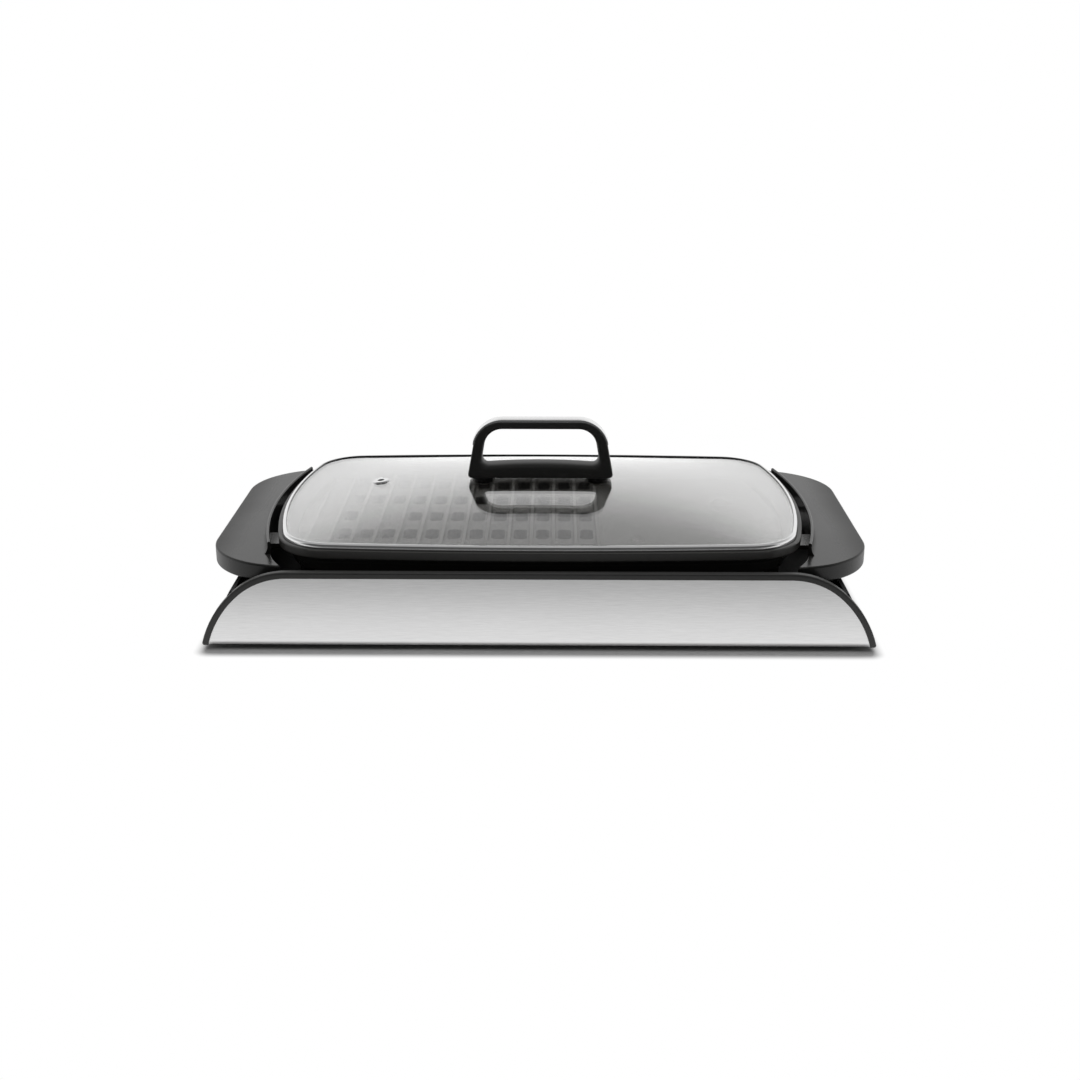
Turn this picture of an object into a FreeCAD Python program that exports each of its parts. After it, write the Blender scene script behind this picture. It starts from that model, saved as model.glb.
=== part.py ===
import FreeCAD, Part
import math
import os

V = FreeCAD.Vector
UP = V(0, 0, 1)
ORIGIN = V(0, 0, 0)

# Lengths are in millimetres. X runs along the grill, -Y is the front, Z is up from the table.

# Outline shared by the lid and the cooking plate: a rounded rectangle with bowed sides
lid_length = 429.0
lid_depth = 266.0
side_bow_radius = 430.0
front_bow_radius = 2600.0
corner_radius = 42.0

# Clearances, and the length by which a cutting shape passes the face that it cuts
joint_clearance = 0.3
fit_clearance = 0.15
overrun = 5.0
shortest_edge = 0.001

# Base: a moulded tub with sloping ends between two arched frames
foot_height = 4.0
arch_height = 60.5
shoulder_radius_share = 1.025
flank_radius_share = 1.45
shoulder_angle = 40.0
frame_thickness = 5.5
trim_width = 4.8
trim_round = 1.5
arch_corner_radius = 1.8
frame_gap = 8.0
tub_wall = 3.0
tub_end_gap = 20.5
tub_end_run = 23.5

# Steel facing panels, set into the frames, with the lower edge turned in
panel_thickness = 0.8
panel_setback = 1.3
panel_bend_radius = 9.0
panel_bend_angle = 32.0
panel_foot_gap = 0.4

# Screws that hold the frames to the tub
frame_screw_radius = 1.7
frame_screw_head_radius = 3.5
frame_screw_head = 2.2
frame_screw_tip_gap = 0.5
frame_screw_x_shares = (-0.62, -0.22, 0.22, 0.62)
frame_screw_height_share = 0.55

# Rubber feet with a recessed screw each
foot_radius = 11.0
foot_x_share = 0.87
foot_y_share = 0.8
foot_recess_radius = 4.2
foot_recess = 2.6
foot_screw_radius = 1.5
foot_screw_head_radius = 3.4
foot_screw_head = 1.8
foot_boss_radius = 5.0
foot_boss_height = 9.0

# Cooking plate: a cast pan with a lip, a lid seat, ribs and drain slots
plate_rise = 11.5
pan_lip = 3.5
pan_lip_height = 7.0
lip_round = 1.0
pan_neck = 5.5
pan_taper = 7.0
pan_depth = 16.0
floor_thickness = 5.0
seat_depth = 2.0
seat_width = 5.5
inner_taper = 9.5
rib_count = 14
rib_first_margin = 9.5
rib_last_share = 0.24
rib_foot = 5.0
rib_crest = 2.6
rib_height = 3.5
slot_width_share = 0.86
row_pitch_share = 0.4
slot_length_share = 0.53
slot_corner_share = 0.8
slot_rows = (-2, -1, 0, 1, 2)
first_slot_groove = 1
bend_grooves = (2, 3)

# Legs of the plate and the posts and pads that carry them
leg_radius = 5.5
leg_inset = 32.0
leg_y_share = 0.68
post_radius = 7.0
post_share = 0.48
pad_radius = 6.0
pad_thickness = 2.0

# Tubular heating element in a track under the plate
element_radius = 3.5
element_drop = 0.5
track_width = 12.0
track_cover = 5.5
element_bend_share = 0.96
element_end_bend = 9.0
element_right_share = 0.79
element_loop_share = 0.66
element_lead_share = 0.68
outer_run_share = 1.5
inner_run_share = 0.5

# Inlet under the plate's right end: boss, probe well, pins and shroud
boss_end_inset = 28.0
boss_thickness = 12.0
boss_half_width = 25.0
boss_below_pin = 13.0
pin_rise = 10.0
pin_half_pitch = 14.0
pin_radius = 2.0
pin_length = 17.0
insulator_radius = 3.4
insulator_length = 4.0
element_stub = 1.8
probe_radius = 3.2
probe_depth = 42.0
probe_wall = 3.6
shroud_sheet = 1.0
shroud_half_width = 23.0
shroud_half_height = 11.5
shroud_length = 26.0
shroud_hole_radius = 4.4
shroud_probe_radius = 4.2
shroud_screw_radius = 1.4
shroud_screw_head_radius = 2.4
shroud_screw_head = 1.6
shroud_screw_length = 8.0
shroud_screw_rise = 7.4
plug_notch_half_width = 30.0
plug_notch_drop = 17.0

# Wing handles on both ends of the plate, each with a curved fence
wing_below_rim = 11.4
wing_thickness = 14.0
wing_gap = 7.0
wing_reach = 38.0
wing_corner_radius = 66.0
wing_tip_radius = 2.4
wing_corner_y = 120.0
wing_end_slope = 14.0
wing_sweep_run = 12.0
wing_sweep_radius = 70.0
wing_sweep_angle = 31.0
wing_top_round = 1.5
wing_bottom_round = 1.6
wing_skin = 3.0
wing_wall = 3.0
wing_clearance = 3.4
fence_height = 10.0
fence_crest = 2.6
fence_ramp = 2.6
fence_half_length = 106.0
lug_y = 52.0
lug_half_width = 14.0
lug_thickness = 3.5
lug_rise = 0.6
lug_reach = 10.0
lug_screw_share = 0.5
wing_boss_radius = 5.0
wing_screw_radius = 2.0
wing_screw_head_radius = 4.0
wing_screw_head = 2.2
wing_screw_bite = 4.0

# Drip tray on the floor of the tub
tray_height = 15.0
tray_sheet = 0.9
tray_flange = 4.5
tray_corner_radius = 14.0
tray_left_gap = 5.0
tray_right_gap = 8.0
tray_half_depth_share = 0.87
locator_height = 4.0
locator_thickness = 2.0
locator_half_length = 15.0
locator_gap = 0.6

# Domed glass lid with a steel rim
glass_thickness = 4.0
dome_rise = 18.0
dome_inset = 5.0
glass_inset = 1.0
dome_shares = (1.0, 0.92, 0.8, 0.65, 0.5, 0.35, 0.2, 0.06)
crown_share = 0.78
rim_sheet = 1.0
rim_width = 3.6
rim_round = 0.7

# Steam vent in the lid
vent_x_share = 0.655
vent_y = 10.0
vent_hole_radius = 2.8
vent_tube_radius = 4.0
vent_flange_radius = 6.8
vent_flange = 1.1

# Loop handle on the lid with a bright strip along its top
loop_half_foot = 61.8
loop_half_top = 53.0
loop_height = 47.6
loop_shoulder_radius = 24.0
loop_foot_half_depth = 12.0
loop_top_half_depth = 7.2
loop_bar_height = 12.5
loop_arm = 9.3
loop_top_bar = 6.4
loop_gap_top_radius = 13.0
loop_gap_foot_radius = 6.0
loop_round = 1.4
loop_lift = 1.4
strip_thickness = 2.4
strip_overhang = 0.5
strip_shoulder_gain = 2.0
strip_half_width = 6.6
strip_drop = 15.5
loop_screw_x = 48.0
loop_pad_radius = 9.5
loop_washer_radius = 7.5
loop_washer = 2.0
loop_screw_radius = 2.0
loop_screw_hole_radius = 3.4
loop_screw_head_radius = 4.2
loop_screw_head = 2.4
loop_screw_bite = 9.0

# Places that follow from the sizes above
lid_half_x = lid_length / 2
lid_half_y = lid_depth / 2
pan_half_x = lid_half_x + pan_lip
pan_half_y = lid_half_y + pan_lip
frame_back_y = pan_half_y + frame_gap
base_half_depth = frame_back_y + frame_thickness
tub_half_top = pan_half_x + tub_end_gap
base_half_width = tub_half_top + tub_end_run
arch_foot_z = foot_height
arch_top_z = foot_height + arch_height
tub_floor_z = foot_height + tub_wall
rim_top_z = arch_top_z + plate_rise
seat_z = rim_top_z - seat_depth
floor_z = rim_top_z - pan_depth
plate_under_z = floor_z - floor_thickness
floor_inset = seat_width + inner_taper
floor_half_x = lid_half_x - floor_inset
floor_half_y = lid_half_y - floor_inset
row_pitch = floor_half_y * row_pitch_share
rib_first_x = rib_first_margin - floor_half_x
rib_last_x = floor_half_x * rib_last_share
rib_pitch = (rib_last_x - rib_first_x) / (rib_count - 1)
leg_x = pan_half_x - leg_inset
leg_y = pan_half_y * leg_y_share
post_top_z = tub_floor_z + (plate_under_z - tub_floor_z) * post_share
pad_top_z = post_top_z + pad_thickness
tray_low_z = tub_floor_z + joint_clearance
tray_top_z = tray_low_z + tray_height
pin_z = tray_top_z + pin_rise
inlet_y = row_pitch
boss_face_x = pan_half_x - boss_end_inset
boss_back_x = boss_face_x - boss_thickness
element_z = plate_under_z - element_drop - element_radius
tray_left_x = tray_left_gap + post_radius - leg_x
tray_right_x = boss_back_x - tray_right_gap
tray_half_depth = pan_half_y * tray_half_depth_share
wing_top_z = rim_top_z - wing_below_rim
wing_under_z = wing_top_z - wing_thickness
wing_inner_x = pan_half_x + wing_gap
wing_outer_x = wing_inner_x + wing_reach
wing_bow_radius = side_bow_radius + pan_lip + wing_gap
tub_top_z = wing_under_z - wing_clearance
lug_low_z = plate_under_z + lug_rise
lug_top_z = lug_low_z + lug_thickness
rim_low_z = seat_z + joint_clearance
glass_low_z = rim_low_z + rim_sheet
glass_top_z = glass_low_z + glass_thickness
rim_high_z = glass_top_z + rim_sheet
dome_half_x = lid_half_x - dome_inset
dome_half_y = lid_half_y - dome_inset
dome_top_z = glass_top_z + dome_rise
loop_low_z = dome_top_z + loop_lift
loop_top_z = loop_low_z + loop_height


def box(x_low, x_high, y_low, y_high, z_low, z_high):
    """A block between two corners."""
    return Part.makeBox(x_high - x_low, y_high - y_low, z_high - z_low, V(x_low, y_low, z_low))


def rod(radius, start, end):
    """A cylinder between two points."""
    return Part.makeCylinder(radius, (end - start).Length, start, end - start)


def arc(start, middle, end):
    return Part.Arc(start, middle, end).toShape()


def mirror_x(shape):
    return shape.mirror(ORIGIN, V(1, 0, 0))


def mirror_y(shape):
    return shape.mirror(ORIGIN, V(0, 1, 0))


def fused(shapes):
    """One solid out of shapes that meet."""
    return shapes[0].multiFuse(shapes[1:]).removeSplitter()


def group(shapes):
    """Several solids kept apart in one node."""
    return Part.makeCompound(shapes)


def corner(before, point, after, radius):
    """Start, middle and end of the arc that rounds a corner of a path."""
    back = (before - point).normalize()
    ahead = (after - point).normalize()
    half_angle = back.getAngle(ahead) / 2
    reach = radius / math.tan(half_angle)
    inward = (back + ahead).normalize()
    middle = point + inward * (radius / math.sin(half_angle) - radius)
    return point + back * reach, middle, point + ahead * reach


def rounded_edges(points, radii, closed):
    """Straight edges along the points with an arc at every corner that has a radius."""
    count = len(points)
    stops = []
    for index, point in enumerate(points):
        inside = closed or 0 < index < count - 1
        if inside and radii[index] > 0:
            stops.append(corner(points[index - 1], point, points[(index + 1) % count], radii[index]))
        else:
            stops.append((point, None, point))
    edges = []
    for index, (start, middle, end) in enumerate(stops):
        if middle is not None:
            edges.append(arc(start, middle, end))
        if closed or index < count - 1:
            following = stops[(index + 1) % count][0]
            if (following - end).Length > shortest_edge:
                edges.append(Part.makeLine(end, following))
    return edges


def rounded_face(points, radius):
    """A face inside a closed outline whose corners share one radius."""
    return Part.Face(Part.Wire(rounded_edges(points, [radius] * len(points), True)))


def rectangle(x_low, x_high, y_low, y_high, z):
    return [V(x_low, y_low, z), V(x_high, y_low, z), V(x_high, y_high, z), V(x_low, y_high, z)]


def rounded_block(x_low, x_high, y_low, y_high, radius, z_low, z_high):
    face = rounded_face(rectangle(x_low, x_high, y_low, y_high, z_low), radius)
    return face.extrude(UP * (z_high - z_low))


def sweep(profile, path):
    """A profile carried along a level path without turning over."""
    shell = Part.BRepOffsetAPI.MakePipeShell(path)
    shell.setBiNormalMode(UP)
    shell.add(profile)
    shell.build()
    shell.makeSolid()
    return shell.shape()


def pan_wire(offset, z, share=1.0):
    """The bowed outline, moved outwards by an offset and shrunk to a share of its size."""
    side = side_bow_radius + offset
    front = front_bow_radius + offset
    round_ = corner_radius + offset
    side_x = lid_half_x - side_bow_radius
    front_y = lid_half_y - front_bow_radius
    span = math.hypot(side_x, front_y)
    from_side = side - round_
    from_front = front - round_
    along = (from_side ** 2 - from_front ** 2 + span ** 2) / (2 * span)
    across = math.sqrt(from_side ** 2 - along ** 2)
    to_front = V(-side_x, front_y, 0) * (1 / span)
    square = V(-to_front.y, to_front.x, 0)
    foot = V(side_x, 0, 0) + to_front * along
    centre = max((foot + square * across, foot - square * across), key=lambda p: p.x + p.y)
    side_end = V(side_x, 0, 0) + (centre - V(side_x, 0, 0)) * (side / from_side)
    front_end = V(0, front_y, 0) + (centre - V(0, front_y, 0)) * (front / from_front)
    bisector = ((side_end - centre) + (front_end - centre)).normalize()
    middle = centre + bisector * round_
    right = V(side_x + side, 0, 0)
    back = V(0, front_y + front, 0)
    turns = ((1, 1), (-1, 1), (-1, -1), (1, -1))
    quarter = [[V(p.x * a, p.y * b, 0) for p in (side_end, middle, front_end)] for a, b in turns]
    rounds = [arc(*quarter[0]), arc(*quarter[1][::-1]), arc(*quarter[2]), arc(*quarter[3][::-1])]
    bows = [arc(quarter[0][2], back, quarter[1][2]), arc(quarter[1][0], right * -1, quarter[2][0]),
            arc(quarter[2][2], back * -1, quarter[3][2]), arc(quarter[3][0], right, quarter[0][0])]
    wire = Part.Wire([edge for pair in zip(rounds, bows) for edge in pair])
    wire.scale(share, ORIGIN)
    wire.translate(UP * z)
    return wire


def pan_prism(offset, z_low, z_high):
    return Part.Face(pan_wire(offset, z_low)).extrude(UP * (z_high - z_low))


def pan_loft(offset_low, z_low, offset_high, z_high):
    return Part.makeLoft([pan_wire(offset_low, z_low), pan_wire(offset_high, z_high)], True, True)


def arch_face(inset, y):
    """The arched outline of a frame, moved inwards by an inset."""
    shoulder = arch_height * shoulder_radius_share
    flank = arch_height * flank_radius_share
    turn = math.radians(shoulder_angle)
    flank_z = arch_top_z - shoulder + (shoulder - flank) * math.cos(turn)
    foot_turn = math.acos((arch_foot_z - flank_z) / flank)
    flank_x = base_half_width - flank * math.sin(foot_turn)
    shoulder_x = flank_x - (shoulder - flank) * math.sin(turn)
    shoulder_z = arch_top_z - shoulder

    def on_flank(angle):
        reach = flank - inset
        return V(flank_x + reach * math.sin(angle), y, flank_z + reach * math.cos(angle))

    def on_shoulder(angle):
        reach = shoulder - inset
        return V(shoulder_x + reach * math.sin(angle), y, shoulder_z + reach * math.cos(angle))

    foot_turn = math.acos((arch_foot_z - flank_z) / (flank - inset))
    right = [on_flank(foot_turn), on_flank((foot_turn + turn) / 2), on_flank(turn),
             on_shoulder(turn / 2), on_shoulder(0)]
    left = [V(-p.x, p.y, p.z) for p in right]
    edges = [Part.makeLine(left[0], right[0]), arc(*right[:3]), arc(*right[2:]),
             Part.makeLine(right[4], left[4]), arc(*left[:1:-1]), arc(*left[2::-1])]
    return Part.Face(Part.Wire(edges))


def panel_profile(depth):
    """Upright line and turned-in foot of a panel face that lies a depth behind the frame's front."""
    face_y = depth - base_half_depth
    turn = math.radians(panel_bend_angle)
    centre_y = panel_setback + panel_bend_radius - base_half_depth
    reach = centre_y - face_y
    centre_z = arch_foot_z + panel_foot_gap + panel_bend_radius * math.sin(turn)

    def bend(angle):
        return V(0, centre_y - reach * math.cos(angle), centre_z - reach * math.sin(angle))

    return V(0, face_y, arch_top_z + overrun), V(0, face_y, centre_z), bend(turn / 2), bend(turn)


def along_x(wire):
    """A profile drawn at the middle, carried over the whole width of the base."""
    face = Part.Face(wire)
    face.translate(V(-base_half_width, 0, 0))
    return face.extrude(V(base_half_width * 2, 0, 0))


def panel_recess():
    """The space in front of a panel's back face."""
    top, bend_start, bend_middle, bend_end = panel_profile(panel_setback + panel_thickness)
    front_y = -base_half_depth - overrun
    low_z = arch_foot_z - overrun
    low = V(0, bend_end.y + (bend_end.z - low_z) * math.tan(math.radians(panel_bend_angle)), low_z)
    edges = [Part.makeLine(top, bend_start), arc(bend_start, bend_middle, bend_end),
             Part.makeLine(bend_end, low), Part.makeLine(low, V(0, front_y, low_z)),
             Part.makeLine(V(0, front_y, low_z), V(0, front_y, top.z)),
             Part.makeLine(V(0, front_y, top.z), top)]
    inside = arch_face(trim_width, -base_half_depth - overrun)
    return along_x(Part.Wire(edges)).common(inside.extrude(V(0, frame_thickness + overrun * 2, 0)))


def frame_screw_places():
    """Points on the inside of the tub's front wall where the frame is screwed on."""
    z = tub_floor_z + (tub_top_z - tub_floor_z) * frame_screw_height_share
    return [V(base_half_width * share, tub_wall - frame_back_y, z) for share in frame_screw_x_shares]


def frame_screw(place):
    ahead = V(0, -1, 0)
    tip = V(place.x, panel_setback + panel_thickness + frame_screw_tip_gap - base_half_depth, place.z)
    head = rod(frame_screw_head_radius, place, place - ahead * frame_screw_head)
    return head.fuse(rod(frame_screw_radius, place, tip)).removeSplitter()


def frame_screw_holes():
    reach = V(0, tub_wall + frame_thickness, 0)
    tip_y = panel_setback + panel_thickness - base_half_depth
    holes = []
    for place in frame_screw_places():
        tip = V(place.x, tip_y, place.z)
        holes.append(rod(frame_screw_radius + fit_clearance, tip, place + reach))
    return holes


def front_frame():
    """Arched frame with a raised bead around the steel panel."""
    body = arch_face(0, -base_half_depth).extrude(V(0, frame_thickness, 0))
    feet = [e for e in body.Edges if all(v.Z < arch_foot_z + shortest_edge for v in e.Vertexes)
            and abs(e.Vertexes[0].Y - e.Vertexes[-1].Y) > shortest_edge]
    body = body.makeFillet(arch_corner_radius, feet)
    front = shortest_edge - base_half_depth
    bead = [e for e in body.Edges if all(v.Y < front for v in e.Vertexes)
            and e.BoundBox.ZMax > arch_foot_z + shortest_edge]
    body = body.makeFillet(trim_round, bead)
    return body.cut(panel_recess()).cut(group(frame_screw_holes())).removeSplitter()


def front_panel():
    """Brushed sheet with its lower edge turned in."""
    front = panel_profile(panel_setback)
    back = panel_profile(panel_setback + panel_thickness)
    edges = [Part.makeLine(front[0], front[1]), arc(*front[1:]), Part.makeLine(front[3], back[3]),
             arc(*back[:0:-1]), Part.makeLine(back[1], back[0]), Part.makeLine(back[0], front[0])]
    inside = arch_face(trim_width + fit_clearance, -base_half_depth)
    return along_x(Part.Wire(edges)).common(inside.extrude(V(0, frame_thickness, 0)))


def tub_end_x(z):
    """Where the sloping outer end of the tub lies at a height."""
    share = (z - arch_foot_z) / (tub_top_z - arch_foot_z)
    return base_half_width - tub_end_run * share


def tub_hull(wall, z_low, z_high, half_y):
    low = tub_end_x(z_low) - wall
    high = tub_end_x(z_high) - wall
    points = [V(-low, -half_y, z_low), V(low, -half_y, z_low),
              V(high, -half_y, z_high), V(-high, -half_y, z_high)]
    return Part.Face(Part.makePolygon(points + points[:1])).extrude(V(0, half_y * 2, 0))


def four(x, y):
    """The four corners of a rectangle about the middle."""
    return [(x * a, y * b) for a in (-1, 1) for b in (-1, 1)]


def foot_places():
    return four(base_half_width * foot_x_share, frame_back_y * foot_y_share)


def tray_locators():
    """Low ribs on the floor at both ends of the drip tray."""
    left = tray_left_x - locator_gap
    right = tray_right_x + locator_gap
    starts = (left - locator_thickness, right)
    spots = [(x, sign * tray_half_depth / 2) for x in starts for sign in (-1, 1)]
    return [box(x, x + locator_thickness, y - locator_half_length, y + locator_half_length,
                tub_floor_z - tub_wall / 2, tub_floor_z + locator_height) for x, y in spots]


def base_tub():
    """Moulded tub with sloping ends, posts for the plate, and bosses for the feet."""
    hull = tub_hull(0, arch_foot_z, tub_top_z, frame_back_y)
    inside = tub_hull(tub_wall, tub_floor_z, tub_top_z + overrun, frame_back_y - tub_wall)
    body = hull.cut(inside)
    root_z = tub_floor_z - tub_wall / 2
    posts = [rod(post_radius, V(x, y, root_z), V(x, y, post_top_z)) for x, y in four(leg_x, leg_y)]
    boss_top = tub_floor_z + foot_boss_height
    bosses = [rod(foot_boss_radius, V(x, y, root_z), V(x, y, boss_top)) for x, y in foot_places()]
    body = fused([body] + posts + bosses + tray_locators())
    notch = box(pan_half_x, base_half_width + overrun, inlet_y - plug_notch_half_width,
                inlet_y + plug_notch_half_width, pin_z - plug_notch_drop, tub_top_z + overrun)
    screw = foot_screw_radius + fit_clearance
    holes = [rod(screw, V(x, y, 0), V(x, y, boss_top + overrun)) for x, y in foot_places()]
    front_holes = frame_screw_holes()
    cuts = [notch] + holes + front_holes + [mirror_y(hole) for hole in front_holes]
    return body.cut(group(cuts)).removeSplitter()


def foot(place):
    x, y = place
    body = rod(foot_radius, V(x, y, 0), V(x, y, foot_height))
    recess = rod(foot_recess_radius, V(x, y, -overrun), V(x, y, foot_recess))
    hole = rod(foot_screw_radius + fit_clearance, V(x, y, 0), V(x, y, foot_height + overrun))
    return body.cut(recess).cut(hole)


def foot_screw(place):
    x, y = place
    head = rod(foot_screw_head_radius, V(x, y, foot_recess - foot_screw_head), V(x, y, foot_recess))
    shank = rod(foot_screw_radius, V(x, y, foot_recess), V(x, y, tub_floor_z + foot_boss_height))
    return head.fuse(shank).removeSplitter()


def support_pad(place):
    x, y = place
    return rod(pad_radius, V(x, y, post_top_z), V(x, y, pad_top_z))


def drip_tray():
    """Shallow pressed tray with a flange to lift it by."""
    inner_low = tray_left_x + tray_flange
    inner_high = tray_right_x - tray_flange
    half_y = tray_half_depth - tray_flange
    radius = tray_corner_radius - tray_flange
    flange = rounded_block(tray_left_x, tray_right_x, -tray_half_depth, tray_half_depth,
                           tray_corner_radius, tray_top_z - tray_sheet, tray_top_z)
    bowl = rounded_block(inner_low, inner_high, -half_y, half_y, radius, tray_low_z, tray_top_z)
    thin = tray_sheet
    inside = rounded_block(inner_low + thin, inner_high - thin, thin - half_y, half_y - thin,
                           radius - thin, tray_low_z + thin, tray_top_z + overrun)
    return flange.fuse(bowl).cut(inside).removeSplitter()


def plate_ribs(inside):
    """Ribs from front to back, ending at the sloping wall of the pan."""
    ribs = []
    for index in range(rib_count):
        x = rib_first_x + rib_pitch * index
        y = -pan_half_y
        low = floor_z - floor_thickness / 2
        high = floor_z + rib_height
        points = [V(x - rib_foot / 2, y, low), V(x + rib_foot / 2, y, low),
                  V(x + rib_foot / 2, y, floor_z), V(x + rib_crest / 2, y, high),
                  V(x - rib_crest / 2, y, high), V(x - rib_foot / 2, y, floor_z)]
        ribs.append(Part.Face(Part.makePolygon(points + points[:1])).extrude(V(0, pan_half_y * 2, 0)))
    return [rib.common(inside) for rib in ribs]


def plate_slots():
    """Drain slots in the grooves between the ribs, left out where the element turns."""
    half_width = (rib_pitch - rib_foot) * slot_width_share / 2
    half_length = row_pitch * slot_length_share / 2
    slots = []
    for groove in range(first_slot_groove, rib_count - 1):
        x = rib_first_x + rib_pitch * groove + rib_pitch / 2
        for row in slot_rows:
            if row == 0 and groove in bend_grooves:
                continue
            y = row_pitch * row
            slots.append(rounded_block(x - half_width, x + half_width, y - half_length, y + half_length,
                                       half_width * slot_corner_share, plate_under_z - overrun,
                                       floor_z + overrun))
    return slots


def element_level_points():
    """Corners of the element's level run: round the outside, then a loop about the middle row."""
    outer = row_pitch * outer_run_share
    inner = row_pitch * inner_run_share
    left = rib_first_x + rib_pitch / 2
    right = floor_half_x * element_right_share
    loop = -floor_half_x * element_loop_share
    lead = floor_half_x * element_lead_share
    corners = [(lead, outer), (left, outer), (left, -outer), (right, -outer),
               (right, -inner), (loop, -inner), (loop, inner), (lead, inner)]
    return [V(x, y, element_z) for x, y in corners]


def element_edges(points):
    bend = row_pitch / 2 * element_bend_share
    return rounded_edges(points, [bend] * len(points), False)


def track_profile(half_width, z_low, z_high):
    start = element_level_points()[0]
    points = [V(start.x, start.y + a * half_width, z) for a, z in
              ((-1, z_low), (1, z_low), (1, z_high), (-1, z_high))]
    return Part.makePolygon(points + points[:1])


def element_track():
    path = Part.Wire(element_edges(element_level_points()))
    root_z = plate_under_z + floor_thickness / 2
    return sweep(track_profile(track_width / 2, plate_under_z - track_cover, root_z), path)


def element_groove():
    path = Part.Wire(element_edges(element_level_points()))
    half_width = element_radius + fit_clearance
    low_z = plate_under_z - track_cover - overrun
    return sweep(track_profile(half_width, low_z, element_z + half_width), path)


def inlet_block():
    """Cast block under the plate that holds the element's ends, with the probe well behind it."""
    boss = box(boss_back_x, boss_face_x, inlet_y - boss_half_width, inlet_y + boss_half_width,
               pin_z - boss_below_pin, plate_under_z)
    well = probe_radius + probe_wall
    block = box(boss_face_x - probe_depth - probe_wall, boss_face_x, inlet_y - well, inlet_y + well,
                pin_z - well, plate_under_z)
    return boss.fuse(block).cut(group(inlet_holes())).removeSplitter()


def inlet_holes():
    """Element passages, the probe well and the shroud's screw holes."""
    back = V(boss_back_x - overrun, inlet_y, pin_z)
    face = V(boss_face_x + overrun, inlet_y, pin_z)
    holes = []
    for sign in (-1, 1):
        aside = V(0, sign * pin_half_pitch, 0)
        holes.append(rod(element_radius + fit_clearance, back + aside, face + aside))
        aside = V(0, 0, sign * shroud_screw_rise)
        start = V(boss_face_x - shroud_screw_length, inlet_y, pin_z)
        holes.append(rod(shroud_screw_radius + fit_clearance, start + aside, face + aside))
    holes.append(rod(probe_radius, V(boss_face_x - probe_depth, inlet_y, pin_z), face))
    return holes


def wing_lug(y):
    """Tongue on the end of the pan that a wing handle is screwed to."""
    return box(pan_half_x - leg_inset, wing_inner_x + lug_reach, y - lug_half_width, y + lug_half_width,
               lug_low_z, lug_top_z)


def lug_screw_x():
    return wing_inner_x + lug_reach * lug_screw_share


def pan_inside():
    """The space over the floor of the pan, between its sloping walls."""
    return pan_loft(-floor_inset, floor_z, -seat_width, seat_z + shortest_edge)


def grill_plate():
    """Floor of the cast pan with ribs, drain slots and the element's track."""
    floor = pan_prism(-floor_inset, plate_under_z, floor_z)
    whole = floor.multiFuse([element_track()] + plate_ribs(pan_inside()))
    return whole.cut(group(plate_slots() + [element_groove()])).removeSplitter()


def plate_rim():
    """Wall of the cast pan with a rounded lip, a seat for the lid and lugs for the wing handles."""
    lip = pan_prism(pan_lip, rim_top_z - pan_lip_height, rim_top_z)
    loops = [e for e in lip.Edges if e.BoundBox.ZLength < shortest_edge]
    lip = lip.makeFillet(lip_round, loops)
    neck = pan_lip - pan_neck
    wall = pan_loft(neck - pan_taper, plate_under_z, neck, rim_top_z - pan_lip_height + shortest_edge)
    upper = pan_prism(neck, rim_top_z - pan_lip_height, rim_top_z)
    lugs = [wing_lug(y) for y in (-lug_y, lug_y)]
    lugs += [mirror_x(lug) for lug in lugs]
    outside = lip.multiFuse([wall, upper] + lugs)
    floor = pan_prism(-floor_inset, plate_under_z - overrun, floor_z)
    seat = pan_prism(joint_clearance, seat_z, rim_top_z + overrun)
    screw = wing_screw_radius + fit_clearance
    holes = [rod(screw, V(x, y, lug_low_z - overrun), V(x, y, lug_top_z + overrun))
             for x, y in four(lug_screw_x(), lug_y)]
    return outside.cut(group([floor, pan_inside(), seat] + holes)).removeSplitter()


def plate_leg(place):
    x, y = place
    return rod(leg_radius, V(x, y, pad_top_z + joint_clearance), V(x, y, plate_under_z))


def heating_element():
    """Bent tube in the track, its two ends led down to the inlet."""
    level = element_level_points()
    stub_x = boss_face_x + shroud_sheet + element_stub
    turn_x = boss_back_x - element_end_bend

    def tail(sign):
        y = inlet_y + sign * pin_half_pitch
        return [V(turn_x, y, pin_z), V(stub_x, y, pin_z)]

    points = tail(1)[::-1] + level + tail(-1)
    bend = row_pitch / 2 * element_bend_share
    radii = [0] + [element_end_bend] * 2 + [bend] * (len(level) - 2) + [element_end_bend] * 2 + [0]
    path = Part.Wire(rounded_edges(points, radii, False))
    ring = Part.Wire(Part.makeCircle(element_radius, points[0], V(1, 0, 0)))
    return path.makePipeShell([ring], True, False)


def inlet_points():
    """Centres of the element's two end faces."""
    x = boss_face_x + shroud_sheet + element_stub
    return [V(x, inlet_y + sign * pin_half_pitch, pin_z) for sign in (-1, 1)]


def terminal_insulators():
    reach = V(insulator_length, 0, 0)
    return group([rod(insulator_radius, point, point + reach) for point in inlet_points()])


def terminal_pins():
    start = V(insulator_length, 0, 0)
    reach = V(pin_length, 0, 0)
    pins = []
    for point in inlet_points():
        pin = rod(pin_radius, point + start, point + start + reach)
        end = [e for e in pin.Edges if e.BoundBox.XMin > point.x + insulator_length + shortest_edge]
        pins.append(pin.makeFillet(pin_radius / 2, end))
    return group(pins)


def shroud_screw_places():
    return [V(boss_face_x + shroud_sheet, inlet_y, pin_z + sign * shroud_screw_rise) for sign in (-1, 1)]


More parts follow.
